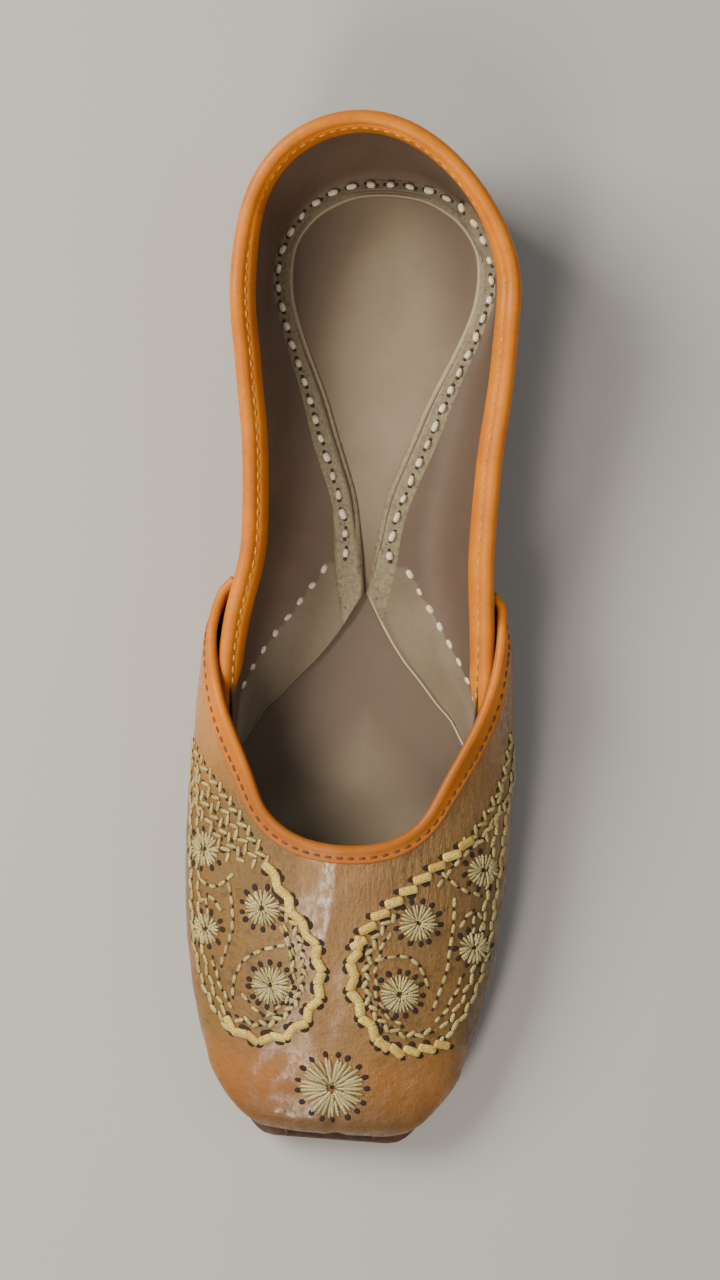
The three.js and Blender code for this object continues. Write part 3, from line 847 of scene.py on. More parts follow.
def paintVamp(wire, where, place):
    x, y, z = place
    side = abs(x)
    look = vampLook
    broad = wire.noise(where, 13, 4, 0.6).ease(0.36, 0.64)
    fine = wire.noise(where, 2.0, 5, 0.7)
    specks = wire.noise(where, 0.8, 2, 0.5).ease(0.62, 0.72)
    # Painted light on the toe: its orange tint is stronger on the left, where the light falls, than on the
    # right.
    toe = (-y).ease(98, 114) * (0.3 + 0.7 * side.ease(4, 18)) * (1 - x.ease(-6, 22) * 0.5)
    flank = side.ease(33, 40) * (-y).ease(60, 96) * 0.7
    low = (1 - z.ease(7, 15)) * 0.7
    middle = (1 - side.ease(4, 20)) * (1 - toe) * (-y).ease(46, 62)
    colour = wire.node("ShaderNodeRGB")
    colour.socket.default_value = look["tan"]
    colour = (broad * 0.55).mix(colour, look["deep"])
    worked = side.ease(7, 15) * (-y).ease(32, 50) * (-y).ease(103, 97)  # where the embroidery is
    colour = (worked * 0.6).mix(colour, look["olive"])
    colour = (middle * 0.45).mix(colour, look["pink"])
    stained = wire.noise(where, 3.4, 4, 0.7).ease(0.5, 0.66) * worked
    colour = (stained * 0.62).mix(colour, look["stain"])
    # The leather's orange tint at the toe, the flanks and the low sides, with the toe's painted light in it.
    orangeAndLitToe = toe.math("MAXIMUM", toe, flank.math("MAXIMUM", flank, low))
    colour = orangeAndLitToe.mix(colour, look["orange"])
    colour = (fine.ease(0.5, 0.75) * 0.35).mix(colour, look["vein"])
    colour = (specks * 0.35).mix(colour, look["speck"])
    # Painted light: the left wing alone is lighter orange, as the side that the light falls on.
    colour = ((-x).ease(20, 34) * y.ease(-46, -14) * 0.8).mix(colour, look["wing"])
    # Painted shade: darker at the front face of the toe and along the right flank, which lie away from the
    # light.
    tip, outside = (-y).ease(107, 124) * 0.65, x.ease(26, 37) * (-y).ease(48, 76) * 0.8
    colour = tip.math("MAXIMUM", tip, outside).mix(colour, look["rim"])
    colour = ((1 - (z + fine * 2).ease(5.5, 10.5)) * 0.6).mix(colour, look["foot"])
    rough = look["roughness"] + 0.3 * wire.noise(where, 5, 4, 0.65) * broad + 0.2 * fine
    creased = wire.noise(where, 2.4, 4, 0.65, (2.2, 0.5, 1.0)) * (-y).ease(92, 58) * 0.6
    grain = wire.noise(where, 0.55, 3, 0.6) * 0.08 + wire.noise(where, 1.4, 4, 0.65) * 0.18
    grain = grain + wire.noise(where, 4.2, 5, 0.65) * 0.6 + creased
    patches = 0.35 + 0.65 * wire.noise(where, 7, 3).ease(0.35, 0.6)
    crackle = wire.noise(where, 1.7, 5, 0.75, (1.5, 0.7, 1.0)).ease(0.4, 0.6) * patches
    return colour, rough, grain, 0.12 + look["coat"] * crackle


bindingLook = {
    "light": rgb(206, 118, 12),
    "dark": rgb(188, 102, 10),
    "front": rgb(148, 84, 28),
    "shaded": rgb(118, 68, 16),
    "vein": rgb(130, 66, 18),
    "shader": {"Specular IOR Level": 0.22, "Coat Weight": 0.05, "Coat Roughness": 0.35},
}


def paintBinding(wire, where, place):
    x, y, z = place
    look = bindingLook
    broad = wire.noise(where, 12, 3).ease(0.3, 0.7)
    fine = wire.noise(where, 1.6, 4, 0.65)
    colour = broad.mix(look["light"], look["dark"])
    colour = ((-y).ease(20, 46) * 0.75).mix(colour, look["front"])
    colour = (x.ease(12, 32) * (-y).ease(6, 30) * 0.5).mix(colour, look["shaded"])
    colour = (fine.ease(0.5, 0.78) * 0.35).mix(colour, look["vein"])
    grain = wire.noise(where, 0.5, 3, 0.6) * 0.03 + wire.noise(where, 3, 3) * 0.08
    return colour, 0.36 + 0.14 * fine, grain


liningLook = {
    "wall": (rgb(108, 86, 69), rgb(94, 76, 59)),
    "flap": (rgb(126, 110, 86), rgb(112, 96, 74)),
    "shaded": rgb(78, 60, 46),
    # pale painted highlight for the right flap's cut edge
    "cutEdgeHighlight": rgb(196, 178, 146),
    "vein": rgb(84, 68, 54),
}


def paintLining(wire, where, place):
    x, y, z = place
    look = liningLook
    broad = wire.noise(where, 22, 3).ease(0.3, 0.7)
    fine = wire.noise(where, 1.4, 4, 0.7)
    tint = wire.attribute("tint")
    wall = broad.mix(*look["wall"])
    flap = broad.mix(*look["flap"])
    wall = (x.ease(8, 26) * 0.6).mix(wall, look["shaded"])
    colour = tint.ease(0.3, 0.7).mix(wall, flap)
    # Painted highlight: a pale line along the flap's cut edge, where light catches it.
    colour = tint.ease(1.2, 2.0).mix(colour, look["cutEdgeHighlight"])
    colour = (fine.ease(0.5, 0.8) * 0.25).mix(colour, look["vein"])
    return colour, 0.62 + 0.15 * fine, wire.noise(where, 0.6, 3) * 0.05 + wire.noise(where, 6, 3) * 0.12


insoleLook = {
    "light": rgb(144, 127, 102),
    "dark": rgb(132, 115, 90),
    # painted shade towards the walls and edges
    "away": rgb(92, 73, 57),
    "vein": rgb(100, 84, 66),
}


# Painted shade: the insole darkens towards its edges and walls, and is palest in the middle of the heel pad
# and of the front.
def paintInsole(wire, where, place):
    x, y, z = place
    look = insoleLook
    broad = wire.noise(where, 26, 3).ease(0.3, 0.7)
    fine = wire.noise(where, 1.2, 4, 0.7)
    heel = (abs(x) / 24 + abs(y - 72) / 110).ease(0.35, 1.15)
    heel = heel.math("MAXIMUM", heel, (-y).ease(-40, -8))
    front = (abs(x - 2) / 36 + abs(y + 48) / 35).ease(0.25, 1.0)
    away = heel.math("MINIMUM", heel, front)
    colour = broad.mix(look["light"], look["dark"])
    # Painted shade away from the middle of the heel pad and of the front.
    colour = (away * 0.85).mix(colour, look["away"])
    colour = (fine.ease(0.52, 0.8) * 0.16).mix(colour, look["vein"])
    return colour, 0.55 + 0.15 * fine, wire.noise(where, 0.7, 3) * 0.04 + wire.noise(where, 9, 2) * 0.15


stripLook = {
    "light": rgb(142, 128, 98),
    "dark": rgb(112, 98, 72),
    # painted shade round the back of the heel
    "heel": rgb(92, 76, 56),
    "spot": rgb(58, 44, 30),
    "bead": rgb(178, 158, 124),
}


def paintStrip(wire, where, place):
    x, y, z = place
    look = stripLook
    fine = wire.noise(where, 1.3, 4, 0.7)
    spots = wire.noise(where, 1.1, 2, 0.5).ease(0.6, 0.7)
    colour = fine.ease(0.3, 0.75).mix(look["light"], look["dark"])
    # Painted shade: the strip is darker round the back of the heel, where the wall shades it.
    colour = (y.ease(80, 112) * 0.55).mix(colour, look["heel"])
    tint = wire.attribute("tint")
    colour = (spots * 0.6 * (1 - tint)).mix(colour, look["spot"])
    colour = (tint * 0.85).mix(colour, look["bead"])
    return colour, 0.6, wire.noise(where, 0.6, 3) * 0.06


soleLook = {
    "under": (rgb(176, 132, 88), rgb(150, 106, 66)),
    "edge": (rgb(80, 52, 28), rgb(48, 30, 16)),
    "worn": rgb(104, 78, 56),
    "vein": rgb(86, 60, 40),
}


def paintSole(wire, where, place):
    look = soleLook
    broad = wire.noise(where, 18, 4).ease(0.3, 0.7)
    fine = wire.noise(where, 0.9, 4, 0.7)
    under = broad.mix(*look["under"])
    wear = wire.noise(where, 7, 5, 0.7).ease(0.45, 0.7)
    colour = (wear * 0.4).mix(under, look["worn"])
    colour = (fine.ease(0.5, 0.8) * 0.3).mix(colour, look["vein"])
    fibre = wire.noise(where, 1.6, 4, 0.7, (0.6, 0.6, 3.5))
    edge = fibre.ease(0.3, 0.75).mix(*look["edge"])
    tint = wire.attribute("tint")
    return tint.mix(colour, edge), 0.55 + 0.2 * fine, fine * 0.06 + wear * 0.05 + fibre * 0.1 * tint


vampLeather = material("vampLeather", paintVamp, vampLook["shader"])
bindingLeather = material("bindingLeather", paintBinding, bindingLook["shader"])
liningLeather = material("liningLeather", paintLining)
insoleLeather = material("insoleLeather", paintInsole)
stripLeather = material("stripLeather", paintStrip)
soleLeather = material("soleLeather", paintSole)
print("materials made")


upper = {"leather": 1.2, "slack": 0.02}  # the slack is between the vamp's leather and its lining
shell = shellOf(vampPoints, vampFaces, 0, upper["leather"])
addPiece("vampShell", *shell, vampLeather, "vamp_leather", "upper")
shell = shellOf(vampPoints, vampFaces, upper["leather"] + upper["slack"], last["wall"])
addPiece("vampLining", *shell, liningLeather, "lining_leather", "upper", [0.0] * len(shell[0]))
shell = shellOf(quarterPoints, quarterFaces, 0, upper["leather"])
addPiece("quarterShell", *shell, vampLeather, "vamp_leather", "upper")
shell = shellOf(liningPoints, liningFaces, 0, lining["thick"] - 0.05)
addPiece("quarterLining", *shell, liningLeather, "lining_leather", "upper", liningTint * 2)


# Sole edges are darker than the underside, whose points come last in each ring.
def soleTint(rings, profile):
    sides = [0.35 if lift < 0.05 else 1.0 for inset, lift in profile]
    count = len(rings[0]) // 2 - len(profile)
    return (sides + [1.0] * count + sides[::-1] + [0.0] * count) * len(rings)


nearBack = 0.0002  # the first ring stands a little in front of the back, where the width is nothing
rings = slabRings(
    stationsBetween(backStation(outsole["edge"]) + nearBack, soleToe["end"], outsole["steps"]),
    soleHalf,
    soleBottom,
    lambda at: soleBottom(at) + last["soleThick"],
    outsole["profile"],
)
tint = soleTint(rings, outsole["profile"])
addPiece("outsole", *sweep(rings), soleLeather, "sole_leather", "outsole", tint)

start = backStation(outsole["edge"] - heelStack["inset"]) + nearBack
rings = slabRings(
    stationsBetween(start, heelStack["front"], heelStack["steps"], 1.0, 0.0),
    lambda at: max(soleHalf(at) - heelStack["inset"], 0.3),
    lambda at: 0.0,
    lambda at: soleBottom(at) - 0.02,
    heelStack["profile"],
)
tint = soleTint(rings, heelStack["profile"])
addPiece("heelStack", *sweep(rings), soleLeather, "sole_leather", "heel_lift", tint)


def insoleHalf(at):
    return planHalf(at, floorShare, -insole["inset"])


start = backStation(-insole["inset"]) + nearBack
stations = stationsBetween(start, floorToe["end"] - insole["toeClear"], insole["steps"])
rings = slabRings(stations, insoleHalf, floorLevel, insoleTop, insole["profile"], insole["across"])
for p in [p for ring in rings for p in ring]:
    if p.z > floorLevel(stationOf(p.y)) + 2.5:
        for wide, long, y, depth in insoleHollows:
            p.z -= math.exp(-((p.x / wide) ** 2) - ((p.y - y) / long) ** 2) * depth
insoleMesh = sweep(rings)
addPiece("insoleBoard", *insoleMesh, insoleLeather, "lining_leather", "insole")
print("large pieces made")


# Frames along a rim: place, direction, outward normal, and the way down into the sheet.
def rimFrames(points, faces, rim, tree, count):
    normals = sheetNormals(points, faces)
    line = [points[i] for i in rim]
    places = alongPath(line, count)
    frames = []
    for k, p in enumerate(places):
        along = (places[min(k + 1, count - 1)] - places[max(k - 1, 0)]).normalized()
        about = int(k / count * len(rim))
        low, high = max(0, about - 12), min(len(rim), about + 13)
        nearest = min(range(low, high), key=lambda i: (line[i] - p).length)
        out = normals[rim[nearest]]
        frames.append([p, along, out, along.cross(out).normalized()])
    for _ in range(3):
        outs = [f[2] for f in frames]
        for k, f in enumerate(frames):
            f[2] = (outs[max(k - 1, 0)] + outs[k] * 2 + outs[min(k + 1, count - 1)]).normalized()
            f[3] = f[1].cross(f[2]).normalized()
    place, along, out, into = frames[count // 2]
    if tree.find_nearest(place - into * 4)[3] < tree.find_nearest(place + into * 4)[3]:
        for f in frames:
            f[3] = -f[3]
    return frames


# A place at a depth down from the rim and a lift off the outer face.
def rollPlace(rimFrame, tree, depth, lift):
    p, along, out, into = rimFrame
    if depth <= 0.4:
        return p + into * depth + out * lift
    location, normal = tree.find_nearest(p + into * depth)[:2]
    if normal.dot(out) < 0:
        normal = -normal
    return location + (normal + out * 0.5).normalized() * lift


def rollRings(frames, tree, profile):
    rings = []
    for f in frames:
        rings.append([rollPlace(f, tree, depth, lift) for lift, depth in profile(stationOf(f[0].y))])
    return softenRings(rings, 2)


# Profiles are lift off the outer face, then depth down from the edge, from the outer leg over the edge
# and back under the inner leg.
collar = {
    "rim": [
        *((0.05, 3.1), (0.75, 2.7), (1.0, 1.9), (1.0, 0.9), (0.75, 0)),
        *((0.25, -0.7), (-0.5, -1.1), (-1.35, -1.1), (-2.05, -0.8), (-2.6, -0.25)),
    ],
    "hem": [
        *((-2.9, 0.35), (-3.15, 0.45), (-3.6, 0.55), (-4.2, 1.2), (-4.75, 2.3)),
        *((-5.0, 3.6), (-4.9, 5), (-4.4, 6.1), (-3.4, 6.6), (-2.1, 6.7)),
    ],
    "back": [(-1.2, 4), (-0.4, 3.6)],
    "heelHem": 0.45,  # share of the hem's width left round the heel
    "thinStart": 0.53,  # it thins to a quarter between here and its end
    "end": 0.59,
    "middle": (-1, 0.6),  # lift and depth of the point that it thins towards
    "frames": 340,
}
throat = {
    "rim": [(-0.3, 0.1), (0.2, 0), (0.42, -0.3), (0.45, -0.65), (0.2, -1.05), (0.12, -1.4)],
    "fold": [
        *((0.32, 1.5), (0.48, 1.1), (0.5, 0.5), (0.3, 0), (-0.1, -0.4), (-0.7, -0.55)),
        *((-1.3, -0.4), (-1.8, 0), (-2.1, 0.7), (-2.3, 3.6), (-2.2, 4.2), (-1.2, 3.4)),
    ],
    "wingDepth": 5.4,
    "frontDepth": 3.9,
    "frames": 210,
}
collarFrames = rimFrames(quarterPoints, quarterFaces, quarterRim, quarterTree, collar["frames"])
collarFrames = [f for f in collarFrames if stationOf(f[0].y) < collar["end"]]
throatFrames = rimFrames(vampPoints, vampFaces, vampRim, vampTree, throat["frames"])


# How far a station is from the wings (0) to the front of the throat (1).
def throatFront(at):
    return smooth(0.58, 0.68, at)


# How far a station is from round the heel (0) to along the sides of the collar (1).
def collarSide(at):
    return smooth(0.06, 0.17, at)


# The strip is narrow at the front of the throat and wider along the wings.
def throatProfile(at):
    deep = lerp(throat["wingDepth"], throat["frontDepth"], throatFront(at))
    return [(lift, deep + depth) for lift, depth in throat["rim"]] + throat["fold"]


# The hem is wide along the sides of the collar and narrow round the heel.
def collarProfile(at):
    edge = collar["rim"][-1][0]
    flat = collarSide(at)
    hem = []
    for lift, depth in collar["hem"]:
        hem.append((lerp(edge + (lift - edge) * collar["heelHem"], lift, flat), depth))
    thin = lerp(1, 0.25, smooth(collar["thinStart"], collar["end"], at))
    x, y = collar["middle"]
    whole = collar["rim"] + hem + collar["back"]
    return [(x + (lift - x) * thin, y + (depth - y) * thin) for lift, depth in whole]


rings = rollRings(collarFrames, quarterTree, collarProfile)
addPiece("collarRoll", *sweep(rings), bindingLeather, "binding_leather", "collar_binding")
rings = rollRings(throatFrames, vampTree, throatProfile)
addPiece("throatRoll", *sweep(rings), bindingLeather, "binding_leather", "throat_binding")
print("rolled edges made")


# One tree for ray casts on several meshes.
def treeOf(*parts):
    points, faces = [], []
    for somePoints, someFaces in parts:
        faces += [tuple(i + len(points) for i in f) for f in someFaces]
        points += somePoints
    return BVHTree.FromPolygons(points, faces)


# The place and the normal of what lies under a plan place, seen from above.
def dropOn(tree, x, y, top=60.0):
    for _ in range(40):
        location, normal = tree.ray_cast(Vector((x, y, top)), Vector((0, 0, -1)))[:2]
        if location is not None:
            return location, (normal if normal.z > 0 else -normal)
        x *= 0.995
    return Vector((x, y, 0)), Vector((0, 0, 1))


# A plan path moved to its own left.
def outsetPath(path, distance):
    moved = []
    for k, p in enumerate(path):
        along = path[min(k + 1, len(path) - 1)] - path[max(k - 1, 0)]
        across = Vector((-along.y, along.x)).normalized()
        moved.append(p + across * (distance(p) if callable(distance) else distance))
    return moved


# The strip round the heel pad. Its outer edge stands outside the hand stitches, by less round the heel, and
# a bead runs along its inner edge.
strip = {
    "outside": 3.2,
    "heelOutside": 2.2,
    "lift": 0.7,
    "bead": 0.4,
    "beadPlace": 0.5,  # its distance from the inner edge
    "beadWidth": 0.36,
    "leftOver": 0.7,  # extra lift of the left tail where the two meet in front
    "thick": 1.4,
    "columns": 12,
    "tail": [(8.2, 17), (6.6, 9), (5.4, 2.4)],
}
floorTree = treeOf((liningPoints, liningFaces), insoleMesh)
outsetRow = outsetPath(
    smoothPath(stitchRow, 160),
    lambda p: lerp(strip["outside"], strip["heelOutside"], smooth(50, 80, p.y)),
)
stripOuter = [Vector((0, outsetRow[0].y)), *[p for p in outsetRow if p.x > 0.5]]
stripOuter += smoothPath(strip["tail"], 14)
stripInner = smoothPath(stripEdge, 110) + smoothPath(flapEdge[:2], 12)[1:-1]


def stripRings(side):
    rings, tint = [], []
    for p in stripInner:
        outer = meetAt(stripOuter, p)
        width = (outer - p).length
        ring, share = [], []
        for k in range(strip["columns"] + 1):
            t = k / strip["columns"]
            place = p.lerp(outer, t)
            location = dropOn(floorTree, side * place.x, place.y, 30)[0]
            bead = math.exp(-(((t * width - strip["beadPlace"]) / strip["beadWidth"]) ** 2))
            bead = bead * strip["bead"] * smooth(24, 66, p.y)
            rim = smooth(0, 0.3, t * width + 0.1) * smooth(0, 0.9, (1 - t) * width)
            over = strip["leftOver"] * smooth(34, 20, p.y) if side < 0 else 0
            ring.append(location + Vector((0, 0, strip["lift"] * rim + bead + over)))
            share.append(clamp(bead / strip["bead"]) ** 2)
        ring += [ring[-1] - Vector((0, 0, strip["thick"])), ring[0] - Vector((0, 0, strip["thick"]))]
        rings.append(ring)
        tint.append(share + [0.0, 0.0])
    return rings, tint


leftRings, leftTint = stripRings(-1)
rightRings, rightTint = stripRings(1)
stripMesh = sweep(softenRings(leftRings[::-1] + rightRings[1:], 2))
tint = [v for row in leftTint[::-1] + rightTint[1:] for v in row]
addPiece("heelStrip", *stripMesh, stripLeather, "lining_leather", None, tint)
insideTree = treeOf((liningPoints, liningFaces), insoleMesh, stripMesh)
print("strip made")


# A geometry tree that puts one rounded stitch at each point, turned along its thread and up off the leather.
def stitchTree():
    tree = bpy.data.node_groups.new("stitchRun", "GeometryNodeTree")
    tree.interface.new_socket("Points", in_out="INPUT", socket_type="NodeSocketGeometry")
    for label, kind, value in (
        ("Material", "NodeSocketMaterial", None),
        ("Squareness", "NodeSocketFloat", 1.0),
        ("Size Jitter", "NodeSocketFloat", 0.1),
        ("Seed", "NodeSocketInt", 1),
    ):
        socket = tree.interface.new_socket(label, in_out="INPUT", socket_type=kind)
        if value is not None:
            socket.default_value = value
    tree.interface.new_socket("Stitches", in_out="OUTPUT", socket_type="NodeSocketGeometry")
    wire = Wire(tree)
    inputs = tree.nodes.new("NodeGroupInput")
    points, finish, square, jitter, seed = [Wire(tree, inputs.outputs[i]) for i in range(5)]
    ball = wire.node("GeometryNodeMeshUVSphere", None, {"Segments": 8, "Rings": 5, "Radius": 1.0})
    spot = wire.node("GeometryNodeInputPosition")
    split = wire.node("ShaderNodeSeparateXYZ", None, {0: spot}).socket.node
    axes = [Wire(tree, split.outputs[i]) for i in (2, 0, 1)]
    shaped = [axis.math("SIGN", axis) * axis.math("POWER", abs(axis), square) * 0.5 for axis in axes]
    body = wire.node("ShaderNodeCombineXYZ", None, dict(enumerate(shaped)))
    ball = wire.node("GeometryNodeSetPosition", None, {"Geometry": ball, "Position": body})
    named = {
        label: wire.node("GeometryNodeInputNamedAttribute", {"data_type": "FLOAT_VECTOR"}, {"Name": label})
        for label in ("along", "up", "size")
    }
    axes = {"primary_axis": "X", "secondary_axis": "Z"}
    rotation = wire.node("FunctionNodeAxesToRotation", axes, {0: named["along"], 1: named["up"]})
    low, high = 1 - jitter, 1 + jitter
    grow = wire.node("FunctionNodeRandomValue", {"data_type": "FLOAT_VECTOR"}, {"Seed": seed})
    lowest = wire.node("ShaderNodeCombineXYZ", None, {0: low, 1: low, 2: low})
    highest = wire.node("ShaderNodeCombineXYZ", None, {0: high, 1: high, 2: high})
    for link, value in ((0, lowest), (1, highest)):
        tree.links.new(value.socket, grow.socket.node.inputs[link])
    scale = wire.node("ShaderNodeVectorMath", {"operation": "MULTIPLY"}, {0: named["size"], 1: grow})
    values = {"Points": points, "Instance": ball, "Rotation": rotation, "Scale": scale}
    placed = wire.node("GeometryNodeInstanceOnPoints", None, values)
    real = wire.node("GeometryNodeRealizeInstances", None, {"Geometry": placed})
    dressed = wire.node("GeometryNodeSetMaterial", None, {"Geometry": real, "Material": finish})
    result = tree.nodes.new("NodeGroupOutput")
    tree.links.new(dressed.socket, result.inputs[0])
    return tree


stitchRun = stitchTree()
stitchKinds = {
    # squareness (1 is round), size jitter, seed
    "insideStitches": (0.8, 0.12, 3),
    "insideHoles": (1.0, 0.12, 9),
    "collarStitches": (0.8, 0.08, 5),
    "throatStitches": (0.8, 0.08, 6),
    "soleStitches": (0.8, 0.1, 11),
    "goldBraid": (0.38, 0.05, 7),
    "paleStitches": (0.75, 0.08, 8),
    "rosettePetals": (0.8, 0.06, 10),
    "needleHoles": (1.0, 0.12, 9),
}


# Turns a list of (place, along, up, size) into one plain mesh of stitches.
def addStitches(name, places, finish):
    squareness, jitter, seed = stitchKinds[name]
    mesh = bpy.data.meshes.new(name)
    mesh.from_pydata([p * mm for p, along, up, size in places], [], [])
    for label, column, factor in (("along", 1, 1), ("up", 2, 1), ("size", 3, mm)):
        layer = mesh.attributes.new(label, "FLOAT_VECTOR", "POINT")
        layer.data.foreach_set("vector", [v for place in places for v in Vector(place[column]) * factor])
    shades = random.Random(seed)
    layer = mesh.attributes.new("shade", "FLOAT", "POINT")
    layer.data.foreach_set("value", [shades.random() for _ in places])
    holder = bpy.data.objects.new(name + "Points", mesh)
    bpy.context.scene.collection.objects.link(holder)
    modifier = holder.modifiers.new("stitchRun", "NODES")
    modifier.node_group = stitchRun
    values = {"Material": finish, "Squareness": squareness, "Size Jitter": jitter, "Seed": seed}
    for item in stitchRun.interface.items_tree:
        if item.in_out == "INPUT" and item.name in values:
            modifier[item.identifier] = values[item.name]
    made = bpy.data.meshes.new_from_object(holder.evaluated_get(bpy.context.evaluated_depsgraph_get()))
    bpy.data.objects.remove(holder)
    for attribute in [a.name for a in made.attributes if a.name in ("along", "up", "size")]:
        made.attributes.remove(made.attributes[attribute])
    made.name = name
    return dressPiece(name, made, finish)


def paintThread(light, dark, rough):
    def paint(wire, where, place):
        twist = wire.noise(where, 0.35, 3, 0.6)
        age = wire.noise(where, 5, 3).ease(0.35, 0.7)
        shade = wire.attribute("shade")
        colour = twist.ease(0.35, 0.65).mix(dark, light)
        colour = (age * 0.25 + shade * 0.55).mix(colour, dark)
        return colour, rough, twist * 0.12

    return paint


threads = {
    # lit colour, dark colour, roughness
    "goldThread": (rgb(242, 216, 116), rgb(164, 126, 44), 0.3),
    "paleThread": (rgb(214, 198, 132), rgb(138, 116, 60), 0.36),
    "rosetteThread": (rgb(220, 205, 148), rgb(136, 118, 72), 0.34),
    "whiteThread": (rgb(255, 247, 228), rgb(206, 190, 160), 0.6),
    "brownThread": (rgb(128, 72, 32), rgb(74, 40, 20), 0.6),
    "seamThread": (rgb(232, 178, 84), rgb(176, 112, 36), 0.55),
}
thread = {name: material(name, paintThread(*look)) for name, look in threads.items()}
# Painted shade: the dark colour of the needle holes stands for the shade inside them.
needleHoleShade = material("needleHoleShade", lambda wire, where, place: (rgb(42, 26, 16), 0.9, None))
# Painted shade for the needle gaps inside the shoe.
insideHoleShade = material("insideHoleShade", lambda wire, where, place: (rgb(62, 48, 36), 0.9, None))


# A direction laid flat on a surface.
def flatTo(vector, normal):
    return (vector - normal * vector.dot(normal)).normalized()


def slant(along, normal, degrees):
    return Matrix.Rotation(math.radians(degrees), 3, normal) @ along


def mirrored(path):
    return [Vector((-p.x, p.y)) for p in path]


# Walks a plan path over a surface: gives evenly spaced places with their direction and normal.
def walk(tree, path, pitch, top=60.0):
    path = [Vector(p) for p in path]
    count = max(int(round(pathLength(path) / pitch)), 1)
    spaced = alongPath(path, count + 1)
    found = []
    for k, p in enumerate(spaced):
        ahead = spaced[min(k + 1, count)] - spaced[max(k - 1, 0)]
        location, normal = dropOn(tree, p.x, p.y, top)
        along = flatTo(Vector((ahead.x, ahead.y, 0)), normal)
        found.append((location, along, normal))
    return found


# White hand stitches inside, with a dark needle gap on each side of every one, painted as the shade inside
# the needle holes.
inside = {"pitch": 5.0, "length": 2.5, "width": 1.7, "height": 1.7, "slant": 14, "gap": (1.0, 1.1, 0.45)}
white, gaps = [], []
rng = random.Random(4)
halfRow = smoothPath(stitchRow, 120)
flapRow = smoothPath(frontRow, 40)
for row in (mirrored(halfRow[::-1]) + halfRow[1:], flapRow, mirrored(flapRow)):
    for location, along, normal in walk(insideTree, row, inside["pitch"], 30):
        normal = (normal + Vector((0, 0, 0.8))).normalized()
        along = slant(flatTo(along, normal), normal, rng.uniform(-inside["slant"], inside["slant"]))
        length = inside["length"] * rng.uniform(0.82, 1.12)
        width = inside["width"] * rng.uniform(0.85, 1.1)
        white.append((location + normal * 0.2, along, normal, (length, width, inside["height"])))
        for end in (-1, 1):
            gaps.append((location + along * end * inside["length"] * 0.6, along, normal, inside["gap"]))
addStitches("insideStitches", white, thread["whiteThread"])
addStitches("insideHoles", gaps, insideHoleShade)


# Evenly spaced places of machine stitches on a rolled edge, each with its frame.
def rollRun(frames, tree, seam, depth, lift):
    total = pathLength([f[0] for f in frames])
    length = total - 2 * seam["skip"]
    count = int(length / seam["pitch"])
    found = []
    for k in range(count + 1):
        share = (seam["skip"] + length * k / count) / total * (len(frames) - 1)
        i = min(int(share), len(frames) - 2)
        mixed = [frames[i][c].lerp(frames[i + 1][c], share - i) for c in range(4)]
        at = stationOf(mixed[0].y)
        found.append((rollPlace(mixed, tree, depth(at), lift(at)), mixed))
    return found


# Skip is what is left bare at each end. Depth and lift are given round the heel and along the sides for the
# collar, and for the throat the depth is given at the wings and in front.
collarSeam = {"pitch": 3.0, "skip": 12, "size": (1.9, 0.6, 0.7), "depth": (1.4, 0.35), "lift": (-3.25, -2.95)}
throatSeam = {"pitch": 2.6, "skip": 8, "size": (1.75, 0.75, 0.5), "depth": (3.9, 2.5), "lift": 0.16}
soleSeam = {"start": 0.27, "end": 0.97, "count": 45, "sink": 0.4, "size": (3.1, 0.95, 0.6)}
collarRun = []
for place, (rim, along, out, into) in rollRun(
    collarFrames,
    quarterTree,
    collarSeam,
    lambda at: lerp(*collarSeam["depth"], collarSide(at)),
    lambda at: lerp(*collarSeam["lift"], collarSide(at)),
):
    up = (Vector((0, 0, 1)) * 0.8 - out * 0.6).normalized()
    collarRun.append((place, along, up, collarSeam["size"]))
addStitches("collarStitches", collarRun, thread["seamThread"])
throatRun = []
for place, (rim, along, out, into) in rollRun(
    throatFrames,
    vampTree,
    throatSeam,
    lambda at: lerp(*throatSeam["depth"], throatFront(at)),
    lambda at: throatSeam["lift"],
):
    throatRun.append((place, along, out, throatSeam["size"]))
addStitches("throatStitches", throatRun, thread["brownThread"])

# The sole's own stitches, in a row a little in from the edge of its underside.
soleRun = []
length = soleSeam["end"] - soleSeam["start"]
stations = [soleSeam["start"] + length * k / 90 for k in range(91)]
for side in (-1, 1):
    line = [Vector((side * (soleHalf(at) - outsole["groove"]), stationY(at))) for at in stations]
    line = alongPath(line, soleSeam["count"] + 1)
    for p, ahead in zip(line, line[1:]):
        at = stationOf(p.y)
        rise = (soleBottom(at - 0.005) - soleBottom(at + 0.005)) / (0.01 * last["span"])
        run = ahead - p
        along = Vector((run.x, run.y, run.y * rise)).normalized()
        place = Vector((p.x, p.y, soleBottom(at) + soleSeam["sink"]))
        soleRun.append((place, along, flatTo(Vector((0, 0, -1)), along), soleSeam["size"]))
addStitches("soleStitches", soleRun, thread["whiteThread"])
print("stitches made")
